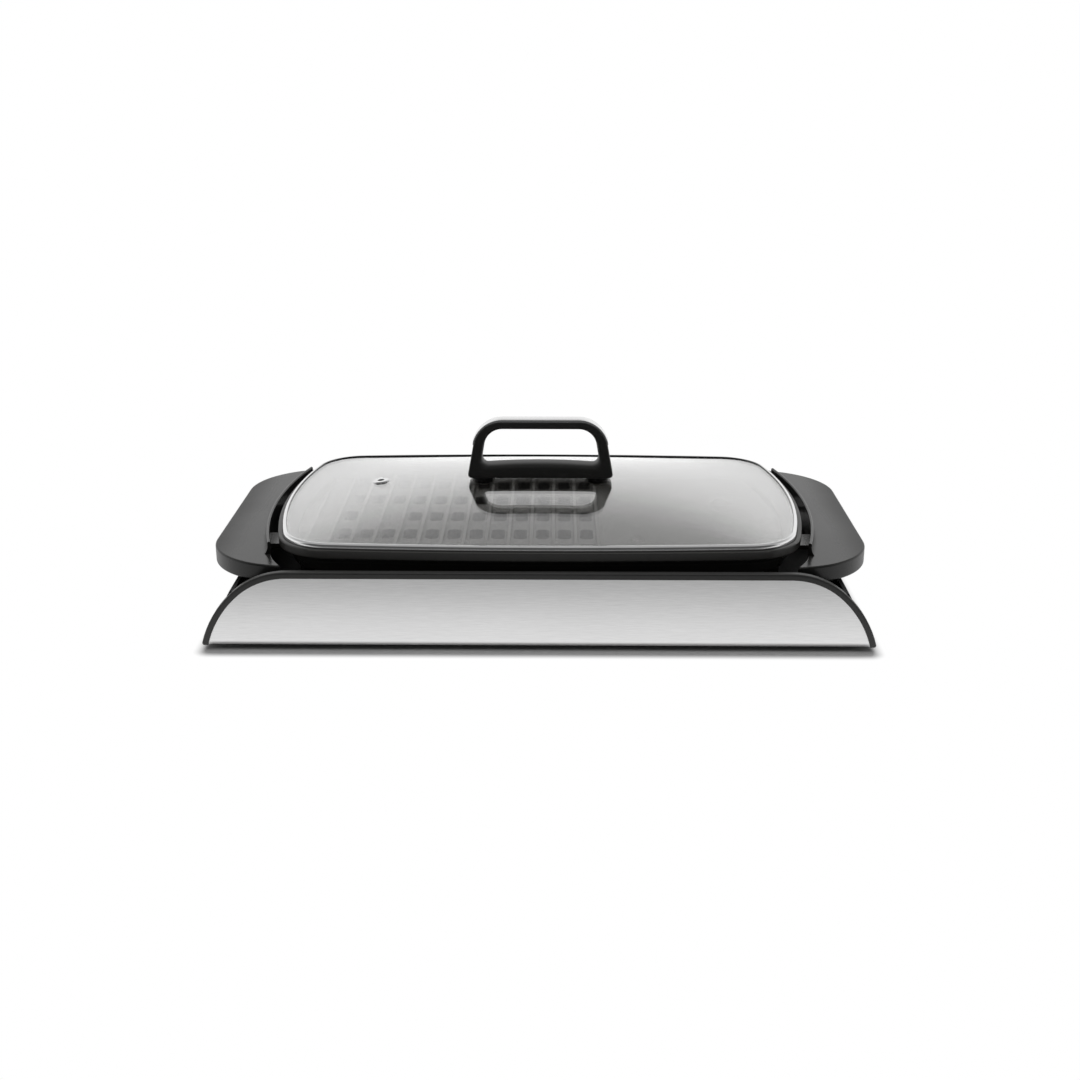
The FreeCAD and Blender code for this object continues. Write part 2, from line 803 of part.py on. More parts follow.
def terminal_shroud():
    """Sheet-metal cup around the pins, open towards the plug."""
    face = boss_face_x
    low_y = inlet_y - shroud_half_width
    high_y = inlet_y + shroud_half_width
    low_z = pin_z - shroud_half_height
    high_z = pin_z + shroud_half_height
    cup = box(face, face + shroud_length, low_y, high_y, low_z, high_z)
    thin = shroud_sheet
    space = box(face + thin, face + shroud_length + overrun, low_y + thin, high_y - thin,
                low_z + thin, high_z - thin)
    before = V(-overrun, 0, 0)
    after = V(overrun, 0, 0)
    passages = [V(face, point.y, point.z) for point in inlet_points()]
    holes = [rod(shroud_hole_radius, point + before, point + after) for point in passages]
    middle = V(face, inlet_y, pin_z)
    holes.append(rod(shroud_probe_radius, middle + before, middle + after))
    screw = shroud_screw_radius + fit_clearance
    holes += [rod(screw, place + before, place + after) for place in shroud_screw_places()]
    return cup.cut(group([space] + holes))


def shroud_screw(place):
    head = rod(shroud_screw_head_radius, place, place + V(shroud_screw_head, 0, 0))
    tip = V(boss_face_x - shroud_screw_length, place.y, place.z)
    return head.fuse(rod(shroud_screw_radius, place, tip)).removeSplitter()


def wing_end_y(x):
    """Depth of the wing's sloping end at a distance from the middle."""
    return wing_corner_y + (wing_outer_x - x) * math.tan(math.radians(wing_end_slope))


def wing_face(inset, z):
    """Outline of a wing handle, moved inwards by an inset: an arc along the pan, then swept tips."""
    slope = math.radians(wing_end_slope)
    shift = inset / math.cos(slope)
    turn = math.asin(fence_half_length / wing_bow_radius)
    lean = math.radians(wing_sweep_angle)
    reach = wing_bow_radius + inset
    neck = V(wing_inner_x - wing_bow_radius + reach * math.cos(turn), -reach * math.sin(turn), z)
    run = wing_sweep_run - inset * math.tan((lean - turn) / 2)
    bend = neck - V(math.sin(turn), math.cos(turn), 0) * run
    rest = bend.y + wing_end_y(bend.x) - shift
    ahead = V(math.sin(lean), math.cos(lean), 0)
    tip = bend - ahead * (rest / (ahead.y - ahead.x * math.tan(slope)))
    outer_x = wing_outer_x - inset
    outer = V(outer_x, shift - wing_end_y(outer_x), z)
    half = [neck, bend, tip, outer]
    chain = half + [V(point.x, -point.y, z) for point in half[::-1]]
    radii = [0, wing_sweep_radius + inset, max(wing_tip_radius - inset, 0), wing_corner_radius - inset]
    edges = rounded_edges(chain, radii + radii[::-1], False)
    edges.append(arc(chain[-1], V(wing_inner_x + inset, 0, z), neck))
    return Part.Face(Part.Wire(edges))


def wing_fence():
    """Curved ridge along the wing's inner edge, with a ramp on its outer side."""
    centre_x = wing_inner_x - wing_bow_radius
    inner = wing_bow_radius
    crest = inner + fence_crest
    foot = crest + fence_ramp
    top = wing_top_z + fence_height
    root = wing_top_z - wing_top_round
    flat = 1 - math.sin(math.pi / 4)
    shoulder = top - fence_crest / 2

    def at(reach, z):
        return V(centre_x + reach, 0, z)

    edges = [Part.makeLine(at(inner, root), at(inner, shoulder)),
             arc(at(inner, shoulder), at(inner + fence_crest / 2, top), at(crest, shoulder)),
             arc(at(crest, shoulder), at(crest + fence_ramp * flat, wing_top_z + fence_height * flat),
                 at(foot, wing_top_z)),
             Part.makeLine(at(foot, wing_top_z), at(foot, root)),
             Part.makeLine(at(foot, root), at(inner, root))]
    half_turn = math.degrees(math.asin(fence_half_length / inner))
    section = Part.Face(Part.Wire(edges))
    section.rotate(V(centre_x, 0, 0), UP, -half_turn)
    return section.revolve(V(centre_x, 0, 0), UP, half_turn * 2)


def right_handle():
    """Wing handle: a shell open below, with a fence and two screw bosses."""
    body = wing_face(0, wing_under_z).extrude(UP * wing_thickness)
    upper = [e for e in body.Edges if e.BoundBox.ZMin > wing_top_z - shortest_edge]
    body = body.makeFillet(wing_top_round, upper)
    lower = [e for e in body.Edges if e.BoundBox.ZMax < wing_under_z + shortest_edge]
    body = body.makeFillet(wing_bottom_round, lower)
    hollow = wing_face(wing_wall, wing_under_z - overrun)
    hollow = hollow.extrude(UP * (wing_thickness + overrun - wing_skin))
    spots = [V(lug_screw_x(), y, lug_top_z + fit_clearance) for y in (-lug_y, lug_y)]
    skin = V(0, 0, wing_top_z - wing_skin / 2 - lug_top_z)
    bosses = [rod(wing_boss_radius, spot, spot + skin) for spot in spots]
    whole = body.cut(hollow).multiFuse([wing_fence()] + bosses)
    gap = joint_clearance
    notches = [box(pan_half_x - leg_inset, wing_inner_x + lug_reach + gap, y - lug_half_width - gap,
                   y + lug_half_width + gap, wing_under_z - overrun, lug_top_z + fit_clearance)
               for y in (-lug_y, lug_y)]
    bite = UP * (wing_screw_bite + fit_clearance)
    holes = [rod(wing_screw_radius + fit_clearance, spot - UP * overrun, spot + bite) for spot in spots]
    return whole.cut(group(notches + holes)).removeSplitter()


def handle_screw(place):
    x, y = place
    head = rod(wing_screw_head_radius, V(x, y, lug_low_z - wing_screw_head), V(x, y, lug_low_z))
    shank = rod(wing_screw_radius, V(x, y, lug_low_z), V(x, y, lug_top_z + wing_screw_bite))
    return head.fuse(shank).removeSplitter()


def dome(base_z):
    """Solid under a domed surface that starts at a height and rises to the middle of the lid."""
    sections = []
    for share in dome_shares:
        sections.append(pan_wire(-dome_inset, base_z + dome_rise * (1 - share ** 2), share))
    return Part.makeLoft(sections, True, False)


def dome_z(share):
    """Height of the glass's upper face at a share of the way from the middle to the edge."""
    return glass_top_z + dome_rise * (1 - share ** 2)


def vent_frame():
    """Place and tilt of the steam vent on the glass."""
    place = V(-dome_half_x * vent_x_share, vent_y, dome_z(vent_x_share))
    slope = math.degrees(math.atan(2 * dome_rise * vent_x_share / dome_half_x))
    return FreeCAD.Placement(place, FreeCAD.Rotation(V(0, 1, 0), -slope))


def placed(shape, placement):
    shape.Placement = placement.multiply(shape.Placement)
    return shape


def lid_pane():
    """Domed pane with a flat brim, bored for the vent and the handle's screws."""
    brim = pan_prism(-glass_inset, glass_low_z, glass_top_z)
    pane = brim.fuse(dome(glass_top_z)).cut(dome(glass_low_z))
    hole = vent_tube_radius + fit_clearance
    vent = placed(rod(hole, UP * (-glass_thickness - overrun), UP * overrun), vent_frame())
    bores = [rod(loop_screw_hole_radius, V(x, 0, glass_low_z), V(x, 0, loop_low_z + overrun))
             for x in (-loop_screw_x, loop_screw_x)]
    return pane.cut(group(bores + [vent])).removeSplitter()


def crown_column():
    """Upright column through the part of the pane that counts as its crown."""
    outline = pan_wire(-dome_inset, glass_low_z - overrun, crown_share)
    return Part.Face(outline).extrude(UP * (dome_top_z - glass_low_z + overrun * 2))


def lid_rim():
    """Rolled band that holds the edge of the glass."""
    band = pan_prism(0, rim_low_z, rim_high_z)
    top = [e for e in band.Edges if e.BoundBox.ZMin > rim_high_z - shortest_edge]
    band = band.makeFillet(rim_round, top)
    space = pan_prism(-rim_width, rim_low_z - overrun, rim_high_z + overrun)
    return band.cut(space).cut(pan_prism(-glass_inset, glass_low_z, glass_top_z))


def steam_vent():
    """Rolled eyelet through the glass."""
    below = glass_thickness + fit_clearance * 2
    tube = rod(vent_tube_radius, UP * -below, ORIGIN)
    upper = rod(vent_flange_radius, UP * fit_clearance, UP * (fit_clearance + vent_flange))
    crown = [e for e in upper.Edges if e.BoundBox.ZMin > vent_flange]
    upper = upper.makeFillet(vent_flange / 2, crown)
    lower = rod(vent_flange_radius, UP * -below, UP * (-below - vent_flange))
    middle = rod(vent_tube_radius, UP * (-below - vent_flange / 2), UP * vent_flange)
    bore = rod(vent_hole_radius, UP * (-below - overrun), UP * overrun)
    return placed(tube.multiFuse([middle, upper, lower]).cut(bore).removeSplitter(), vent_frame())


def loop_outline(half_foot, half_top, low_z, high_z, foot_radius_, top_radius):
    """Upright trapezium with rounded corners, drawn at the middle of the lid."""
    points = [V(-half_foot, 0, low_z), V(half_foot, 0, low_z),
              V(half_top, 0, high_z), V(-half_top, 0, high_z)]
    radii = [foot_radius_, foot_radius_, top_radius, top_radius]
    return Part.Face(Part.Wire(rounded_edges(points, radii, True)))


def through(face, half_depth):
    """An upright face carried to both sides of the middle."""
    face.translate(V(0, -half_depth, 0))
    return face.extrude(V(0, half_depth * 2, 0))


def loop_side_x(z):
    """Half width of the loop handle's straight sides at a height."""
    share = (z - loop_low_z) / loop_height
    return loop_half_foot + (loop_half_top - loop_half_foot) * share


def loop_gap():
    low = loop_low_z + loop_bar_height
    high = loop_top_z - loop_top_bar
    return loop_outline(loop_side_x(low) - loop_arm, loop_side_x(high) - loop_arm, low, high,
                        loop_gap_foot_radius, loop_gap_top_radius)


def lid_handle():
    """Loop handle, deeper at its foot than at its top."""
    depth = loop_foot_half_depth
    outside = through(loop_outline(loop_half_foot, loop_half_top, loop_low_z, loop_top_z,
                                   loop_gap_foot_radius / 2, loop_shoulder_radius), depth)
    low = loop_low_z
    high = loop_top_z
    reach = loop_half_foot
    side = [V(-reach, -depth, low), V(-reach, depth, low),
            V(-reach, loop_top_half_depth, high), V(-reach, -loop_top_half_depth, high)]
    wedge = Part.Face(Part.makePolygon(side + side[:1])).extrude(V(reach * 2, 0, 0))
    body = outside.common(wedge).cut(through(loop_gap(), depth)).removeSplitter()
    fronts = [e for e in body.Edges if abs(e.BoundBox.YMin) > shortest_edge
              and e.BoundBox.YMin * e.BoundBox.YMax > 0 and e.BoundBox.ZMax > low + shortest_edge]
    body = body.makeFillet(loop_round, fronts)
    holes = [rod(loop_screw_radius + fit_clearance, V(x, 0, low - overrun), V(x, 0, low + loop_screw_bite))
             for x in (-loop_screw_x, loop_screw_x)]
    return body.cut(group(holes))


def lid_handle_trim():
    """Bright strip over the top and shoulders of the loop handle."""
    high = loop_top_z + strip_thickness
    over = strip_overhang
    outer = through(loop_outline(loop_half_foot + over, loop_half_top + over, loop_low_z, high,
                                 0, loop_shoulder_radius + strip_shoulder_gain), strip_half_width)
    inner = through(loop_outline(loop_half_foot, loop_half_top, loop_low_z, loop_top_z,
                                 0, loop_shoulder_radius), strip_half_width + overrun)
    far = loop_half_foot + overrun
    keep = box(-far, far, -far, far, loop_top_z - strip_drop, high + overrun)
    return outer.cut(inner).common(keep)


def lid_handle_pads():
    """Soft pads between the loop handle and the glass."""
    surface = dome(glass_top_z)
    low = glass_top_z + dome_rise / 2
    pads = [rod(loop_pad_radius, V(x, 0, low), V(x, 0, loop_low_z)) for x in (-loop_screw_x, loop_screw_x)]
    hole = loop_screw_radius + fit_clearance
    bores = [rod(hole, V(x, 0, low), V(x, 0, loop_low_z + overrun)) for x in (-loop_screw_x, loop_screw_x)]
    return group([pad.cut(surface).cut(bore) for pad, bore in zip(pads, bores)])


def washer_low_z():
    return dome_z(loop_screw_x / dome_half_x) - glass_thickness - loop_washer


def lid_handle_washers():
    """Washers under the glass at the loop handle's screws."""
    surface = dome(glass_low_z)
    low = washer_low_z()
    hole = loop_screw_radius + fit_clearance
    washers = []
    for x in (-loop_screw_x, loop_screw_x):
        disc = rod(loop_washer_radius, V(x, 0, low), V(x, 0, dome_top_z)).common(surface)
        washers.append(disc.cut(rod(hole, V(x, 0, low - overrun), V(x, 0, dome_top_z))))
    return group(washers)


def lid_handle_screw(x):
    low = washer_low_z()
    head = rod(loop_screw_head_radius, V(x, 0, low - loop_screw_head), V(x, 0, low))
    shank = rod(loop_screw_radius, V(x, 0, low), V(x, 0, loop_low_z + loop_screw_bite))
    return head.fuse(shank).removeSplitter()


def all_nodes():
    """Every piece of the grill by name."""
    frame = front_frame()
    panel = front_panel()
    handle = right_handle()
    pane = lid_pane()
    front_screws = [frame_screw(place) for place in frame_screw_places()]
    return {
        "base_tub": base_tub(),
        "front_frame": frame,
        "rear_frame": mirror_y(frame),
        "front_panel": panel,
        "rear_panel": mirror_y(panel),
        "frame_screws": group(front_screws + [mirror_y(screw) for screw in front_screws]),
        "rubber_feet": group([foot(place) for place in foot_places()]),
        "foot_screws": group([foot_screw(place) for place in foot_places()]),
        "support_pads": group([support_pad(place) for place in four(leg_x, leg_y)]),
        "drip_tray": drip_tray(),
        "grill_plate": grill_plate(),
        "plate_rim": plate_rim(),
        "plate_legs": group([plate_leg(place) for place in four(leg_x, leg_y)]),
        "inlet_block": inlet_block(),
        "heating_element": heating_element(),
        "terminal_insulators": terminal_insulators(),
        "terminal_pins": terminal_pins(),
        "terminal_shroud": terminal_shroud(),
        "shroud_screws": group([shroud_screw(place) for place in shroud_screw_places()]),
        "left_handle": mirror_x(handle),
        "right_handle": handle,
        "handle_screws": group([handle_screw(place) for place in four(lug_screw_x(), lug_y)]),
        "lid_glass": pane.common(crown_column()),
        "lid_brim": pane.cut(crown_column()),
        "lid_rim": lid_rim(),
        "steam_vent": steam_vent(),
        "lid_handle": lid_handle(),
        "lid_handle_trim": lid_handle_trim(),
        "lid_handle_pads": lid_handle_pads(),
        "lid_handle_washers": lid_handle_washers(),
        "lid_handle_screws": group([lid_handle_screw(x) for x in (-loop_screw_x, loop_screw_x)]),
    }


os.makedirs("parts", exist_ok=True)
for name, shape in all_nodes().items():
    shape.exportStep(os.path.join("parts", name + ".step"))
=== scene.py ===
import math

import bmesh
import bpy
from bpy.props import FloatProperty, FloatVectorProperty, PointerProperty
from mathutils import Matrix, Vector


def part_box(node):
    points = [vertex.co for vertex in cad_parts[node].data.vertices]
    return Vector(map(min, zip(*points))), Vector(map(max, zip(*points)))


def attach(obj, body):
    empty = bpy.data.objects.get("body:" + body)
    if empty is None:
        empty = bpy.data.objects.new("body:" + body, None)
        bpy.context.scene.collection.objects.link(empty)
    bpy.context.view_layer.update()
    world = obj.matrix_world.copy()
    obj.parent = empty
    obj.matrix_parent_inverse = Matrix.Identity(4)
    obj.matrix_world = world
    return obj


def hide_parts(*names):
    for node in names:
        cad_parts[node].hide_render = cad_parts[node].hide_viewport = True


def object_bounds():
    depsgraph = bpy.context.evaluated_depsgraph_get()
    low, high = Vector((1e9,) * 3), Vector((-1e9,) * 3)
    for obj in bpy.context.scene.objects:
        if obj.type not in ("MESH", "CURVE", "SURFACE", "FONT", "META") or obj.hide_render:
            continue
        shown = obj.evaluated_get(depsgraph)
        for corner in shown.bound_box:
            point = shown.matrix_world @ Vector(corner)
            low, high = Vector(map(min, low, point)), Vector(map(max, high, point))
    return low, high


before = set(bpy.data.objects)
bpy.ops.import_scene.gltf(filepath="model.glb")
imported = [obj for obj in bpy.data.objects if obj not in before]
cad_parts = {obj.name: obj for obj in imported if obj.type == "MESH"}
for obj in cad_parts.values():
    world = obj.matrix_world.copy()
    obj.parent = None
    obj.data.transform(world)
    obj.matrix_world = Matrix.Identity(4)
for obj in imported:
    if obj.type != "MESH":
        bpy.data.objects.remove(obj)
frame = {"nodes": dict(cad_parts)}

bl_info = {
    "name": "Smokeless Grill Looks",
    "version": (1, 0, 0),
    "blender": (4, 5, 0),
    "location": "3D View > Sidebar > Grill",
    "description": "Finishes, formed pieces and a studio stage for a tabletop grill with a glass lid",
    "category": "Object",
}

NODES = frame["nodes"]
CAD_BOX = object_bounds()
RIM_LOW, RIM_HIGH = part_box("lid_rim")
LOOP_LOW, LOOP_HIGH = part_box("lid_handle")
RING_STEPS = 48
SCREW_STEPS = 28
DOME_STEPS = 44
LOOP_STEPS = 44
BORE_LENGTH = 0.04
DOME_FLARE = 6
UP = Vector((0, 0, 1))
WHITE = (1.0, 1.0, 1.0, 1.0)
BLACK = (0.0, 0.0, 0.0, 1.0)


def length(name, description, default):
    """A size in metres that a user may change."""
    return FloatProperty(name=name, description=description, default=default, unit="LENGTH", precision=5)


def share(name, description, default):
    """A plain number from nought to one."""
    return FloatProperty(name=name, description=description, default=default, subtype="FACTOR", min=0, max=1)


def colour(name, description, default):
    """A colour that a user may change."""
    return FloatVectorProperty(name=name, description=description, default=default, subtype="COLOR",
                               size=3, min=0, max=1)


class GrillSizes(bpy.types.PropertyGroup):
    """Sizes of the pieces that are formed here."""

    side_bow: length("Side bow", "Radius of the bowed ends of lid and plate", 0.430)
    front_bow: length("Front bow", "Radius of the bowed long sides of lid and plate", 2.6)
    corner: length("Corner", "Corner radius of the lid", 0.042)
    glass: length("Glass", "Thickness of the lid's glass", 0.004)
    dome_rise: length("Dome rise", "Height of the dome over the brim", 0.018)
    dome_inset: length("Brim", "Width from the lid's edge to the foot of the dome", 0.005)
    rim_sheet: length("Rim sheet", "Thickness of the steel band around the glass", 0.001)
    rim_width: length("Rim width", "How far the band laps over the glass", 0.0036)
    rim_roll: length("Rim roll", "Radius of the band's rolled upper edge", 0.0024)
    rim_heel: length("Rim heel", "Radius of the band's lower outer edge", 0.0007)
    rim_curl: share("Rim curl", "Radius of the lip's inner edge over the sheet's thickness", 0.85)
    rim_gap: length("Rim gap", "Hair of air between the band and the glass", 0.00003)
    brim_flat: length("Brim flat", "Width of the brim's level outer part", 0.004)
    vent_bore: length("Vent bore", "Radius of the hole in the glass for the vent", 0.00415)
    screw_bore: length("Screw bore", "Radius of the holes in the glass for the loop's screws", 0.0034)
    loop_foot: length("Loop foot", "Half width of the loop handle at its foot", 0.0618)
    loop_top: length("Loop top", "Half width of the loop handle at its top", 0.053)
    loop_shoulder: length("Loop shoulder", "Shoulder radius of the loop handle", 0.024)
    loop_foot_half: length("Loop foot depth", "Half depth of the loop handle at its foot", 0.012)
    loop_top_half: length("Loop top depth", "Half depth of the loop handle at its top", 0.0072)
    loop_toe: length("Loop toe", "Radius of the loop handle's lower corners", 0.003)
    loop_bar: length("Loop bar", "Height of the loop handle's lower bar", 0.0125)
    loop_sag: length("Loop sag", "How far the lower bar's top falls towards its ends", 0.0022)
    loop_arm: length("Loop arm", "Width of the loop handle's arms", 0.0093)
    loop_top_bar: length("Loop top bar", "Height of the loop handle's upper bar", 0.0064)
    gap_foot: length("Gap foot", "Lower corner radius of the loop handle's opening", 0.006)
    gap_top: length("Gap top", "Upper corner radius of the loop handle's opening", 0.0155)
    loop_bore: length("Loop bore", "Radius of the loop handle's screw holes", 0.00215)
    loop_bite: length("Loop bite", "Depth of the loop handle's screw holes", 0.009)
    strip: length("Strip", "Thickness of the bright strip on the loop", 0.0024)
    strip_lap: length("Strip lap", "How far the strip stands over the loop's sides", 0.0005)
    strip_drop: length("Strip drop", "How far the strip runs down the loop's sides", 0.0155)
    strip_half: length("Strip half width", "Half width of the strip", 0.0066)
    strip_round: length("Strip round", "How much wider the strip bends than the loop", 0.002)
    foot_bore: length("Foot bore", "Radius of the screw hole in a foot", 0.00165)
    foot_recess: length("Foot recess", "Radius of the recess for a foot's screw head", 0.0042)
    foot_recess_depth: length("Foot recess depth", "Depth of the recess for a foot's screw head", 0.0026)
    foot_groove: length("Foot groove", "Inner radius of a foot's grip groove", 0.0066)
    foot_groove_width: length("Foot groove width", "Width of a foot's grip groove", 0.0012)
    foot_groove_depth: length("Foot groove depth", "Depth of a foot's grip groove", 0.0004)
    foot_edge: length("Foot edge", "Bevel of a foot's inner edges", 0.0003)
    tray_sheet: length("Tray sheet", "Thickness of the drip tray's sheet", 0.0009)
    tray_flange: length("Tray flange", "Width of the drip tray's flange", 0.0045)
    tray_corner: length("Tray corner", "Corner radius of the drip tray", 0.014)
    tray_bend: length("Tray bend", "Radius of the bend at the tray's floor", 0.004)
    tray_plateau: length("Tray plateau", "Rise of the pressed field in the tray's floor", 0.0009)
    tray_border: length("Tray border", "Width of the floor around the pressed field", 0.016)
    tray_slope: length("Tray slope", "Third part of the slope up to the pressed field", 0.002)
    tray_inside: length("Tray inside", "Width of the pressed field's outer part", 0.060)
    tray_inner_corner: length("Tray inner corner", "Smallest corner radius of the drip tray", 0.003)
    tray_edge: length("Tray edge", "Smallest rounding of the drip tray's flange", 0.0002)


class GrillColours(bpy.types.PropertyGroup):
    """Colours of the finishes."""

    tub: colour("Tub", "Moulded tub", (0.020, 0.020, 0.020))
    frame: colour("Frames", "Arched frames around the panels", (0.031, 0.031, 0.030))
    wing: colour("Wings", "Wing handles", (0.022, 0.0217, 0.0207))
    loop: colour("Loop", "Loop handle on the lid", (0.029, 0.0288, 0.0275))
    steel: colour("Steel", "Panels, band, vent, strip and shroud", (0.80, 0.80, 0.80))
    bright: colour("Bright metal", "Inlet pins", (0.86, 0.86, 0.85))
    coating: colour("Coating", "Non-stick coating of the plate", (0.043, 0.042, 0.0395))
    enamel: colour("Enamel", "Enamel of the drip tray", (0.022, 0.023, 0.025))
    sheath: colour("Sheath", "Tube of the heating element", (0.11, 0.10, 0.085))
    glaze: colour("Glaze", "Ceramic insulators", (0.78, 0.76, 0.70))
    rubber: colour("Rubber", "Feet, pads and washers", (0.014, 0.014, 0.014))
    glass: colour("Glass", "Tint of the lid", (0.985, 0.982, 0.970))
    floor: colour("Floor", "Table under the grill", (0.86, 0.86, 0.86))


class GrillStage(bpy.types.PropertyGroup):
    """Camera and light."""

    camera_place: FloatVectorProperty(name="Camera", description="Where the camera stands",
                                      default=(0.0121, -1.1935, 0.4511), subtype="XYZ", unit="LENGTH")
    camera_tilt: FloatProperty(name="Tilt", description="Camera's turn up from looking straight down",
                               default=math.radians(71), subtype="ANGLE")
    camera_turn: FloatProperty(name="Turn", description="Camera's turn about the upright axis",
                               default=math.radians(0.6), subtype="ANGLE")
    lens: FloatProperty(name="Lens", description="Focal length", default=48.69, subtype="DISTANCE_CAMERA")
    softbox_power: FloatProperty(name="Softbox", description="Power of the softbox overhead", default=12.0,
                                 unit="POWER")
    softbox_width: length("Softbox width", "Width of the softbox", 1.8)
    softbox_depth: length("Softbox depth", "Depth of the softbox", 1.0)
    softbox_place: FloatVectorProperty(name="Softbox place", description="Where the softbox hangs",
                                       default=(0.0, 0.7, 1.4), subtype="XYZ", unit="LENGTH")
    softbox_tilt: FloatProperty(name="Softbox tilt", description="Softbox's turn towards the camera",
                                default=math.radians(-26), subtype="ANGLE")
    table_half: length("Table", "Half width of the table", 4.0)
    table_gap: length("Table gap", "Hair of air between the feet and the table", 0.0003)
    shadow_inset: length("Shadow inset", "How far the shadow starts inside the grill's ends", 0.008)
    ceiling: share("Ceiling", "How much darker the ceiling is than the backdrop", 0.55)
    fill: share("Fill", "Level of the surroundings as light on the grill", 0.55)
    front_dark: share("Front", "Level of the unlit side of the room, behind the camera", 0.10)
    shadow_near: length("Shadow near", "Distance from the grill up to which the table is plain", 0.003)
    shadow_mirrored: length("Shadow mirrored", "How far out steel mirrors the grill's shadow", 0.0065)
    shadow_far: length("Shadow far", "Distance from which the table melts into the backdrop", 0.0145)
    sheen_near: length("Sheen near", "How far in front of the middle the table mirrors white", 0.19)
    sheen_far: length("Sheen far", "How far in front of the middle it mirrors the unlit side", 0.415)


def either_side(operation):
    """An arithmetic operator for a varying value on its left, and one for it on its right."""
    return (lambda self, other: self.finish.maths(operation, self, other),
            lambda self, other: self.finish.maths(operation, other, self))


class Amount:
    """A value that varies over a surface, usable in Python arithmetic."""

    __add__, __radd__ = either_side("ADD")
    __sub__, __rsub__ = either_side("SUBTRACT")
    __mul__, __rmul__ = either_side("MULTIPLY")

    def __init__(self, finish, socket):
        self.finish = finish
        self.socket = socket


class Finish:
    """Builds the node tree of one material, or of the world."""

    def __init__(self, name, tree=None, place="Object"):
        self.material = None
        if tree is None:
            self.material = bpy.data.materials.new(name)
            self.material.use_nodes = True
            tree = self.material.node_tree
        self.tree = tree
        self.tree.nodes.clear()
        self.place = self.node("ShaderNodeTexCoord", output=place)

    def node(self, kind, settings=None, inputs=None, output=0):
        """Adds a node: its settings first, then the values or links of its sockets."""
        node = self.tree.nodes.new(kind)
        for key, value in (settings or {}).items():
            setattr(node, key, value)
        for key, value in (inputs or {}).items():
            if isinstance(value, Amount):
                self.tree.links.new(value.socket, node.inputs[key])
            else:
                node.inputs[key].default_value = value
        return Amount(self, node.outputs[output]) if node.outputs else None

    def maths(self, operation, *operands):
        return self.node("ShaderNodeMath", {"operation": operation}, dict(enumerate(operands)))

    def stretch(self, factors):
        """The finish's coordinates, in metres and kept with the piece, times a factor along each axis."""
        return self.node("ShaderNodeVectorMath", {"operation": "MULTIPLY"}, {0: self.place, 1: factors})

    def axis(self, name, vector=None):
        return self.node("ShaderNodeSeparateXYZ", inputs={0: vector or self.place}, output=name)

    def noise(self, scale, detail=2.0, roughness=0.5, factors=None):
        place = self.stretch(factors) if factors else self.place
        return self.node("ShaderNodeTexNoise", inputs={"Vector": place, "Scale": scale, "Detail": detail,
                                                       "Roughness": roughness}, output="Fac")

    def cells(self, scale, output="Distance"):
        return self.node("ShaderNodeTexVoronoi", inputs={"Vector": self.place, "Scale": scale}, output=output)

    def lots(self, scale):
        """A random number for each cell."""
        return self.axis("X", self.cells(scale, "Color"))

    def flecks(self, scale, lot, reach):
        """Ones in the middle of those cells that drew a high lot."""
        return self.step(self.lots(scale), *lot) * (1 - self.step(self.cells(scale), *reach))

    def step(self, value, low, high):
        """Nought below low, one above high, smooth between."""
        return self.node("ShaderNodeMapRange", {"interpolation_type": "SMOOTHSTEP"},
                         {"Value": value, "From Min": low, "From Max": high}, "Result")

    def mix(self, amount, first, second):
        """A colour between two others."""
        return self.node("ShaderNodeMix", {"data_type": "RGBA"}, {0: amount, 6: first, 7: second}, 2)

    def bump(self, height, depth):
        return self.node("ShaderNodeBump", inputs={"Height": height, "Distance": depth})

    def principled(self, values):
        return self.node("ShaderNodeBsdfPrincipled", {}, values)

    def close(self, shader, output="ShaderNodeOutputMaterial"):
        self.node(output, inputs={"Surface": shader})
        return self.material

    def surface(self, base, rough, height, depth, metal=0.0, gloss=0.5):
        """Closes the material with one plain surface that is bumped by a height."""
        return self.close(self.principled({"Base Color": base, "Roughness": rough, "Metallic": metal,
                                           "Specular IOR Level": gloss, "Normal": self.bump(height, depth)}))


def shade(tint, factor=1.0):
    """A colour made lighter or darker, with its alpha."""
    return tuple(min(part * factor, 1.0) for part in tint) + (1.0,)


def grained_plastic(name, tint, grain, depth, roughness, gloss=0.5, matt=None):
    """Moulded plastic: eroded grain, clouding and rubbed high spots, matter outwards between two reaches."""
    finish = Finish(name)
    fine = finish.noise(1 / grain, 3.0, 0.6)
    pits = finish.cells(0.6 / grain)
    cloud = finish.noise(16.0, 3.0)
    rub = finish.noise(60.0, 4.0, 0.65, (1.0, 1.4, 2.0))
    base = finish.mix(cloud, shade(tint, 0.80), shade(tint, 1.22))
    base = finish.mix(finish.step(rub, 0.55, 0.80) * 0.22, base, shade(tint, 1.9))
    base = finish.mix(finish.step(fine, 0.60, 0.85) * 0.25, base, shade(tint, 1.6))
    rough = roughness + (fine - 0.5) * 0.12 + (cloud - 0.5) * 0.10
    if matt:
        rough = rough + finish.step(finish.maths("ABSOLUTE", finish.axis("X")), *matt) * 0.16
    return finish.surface(base, rough, fine * 0.7 + pits * 0.3, depth, gloss=gloss)


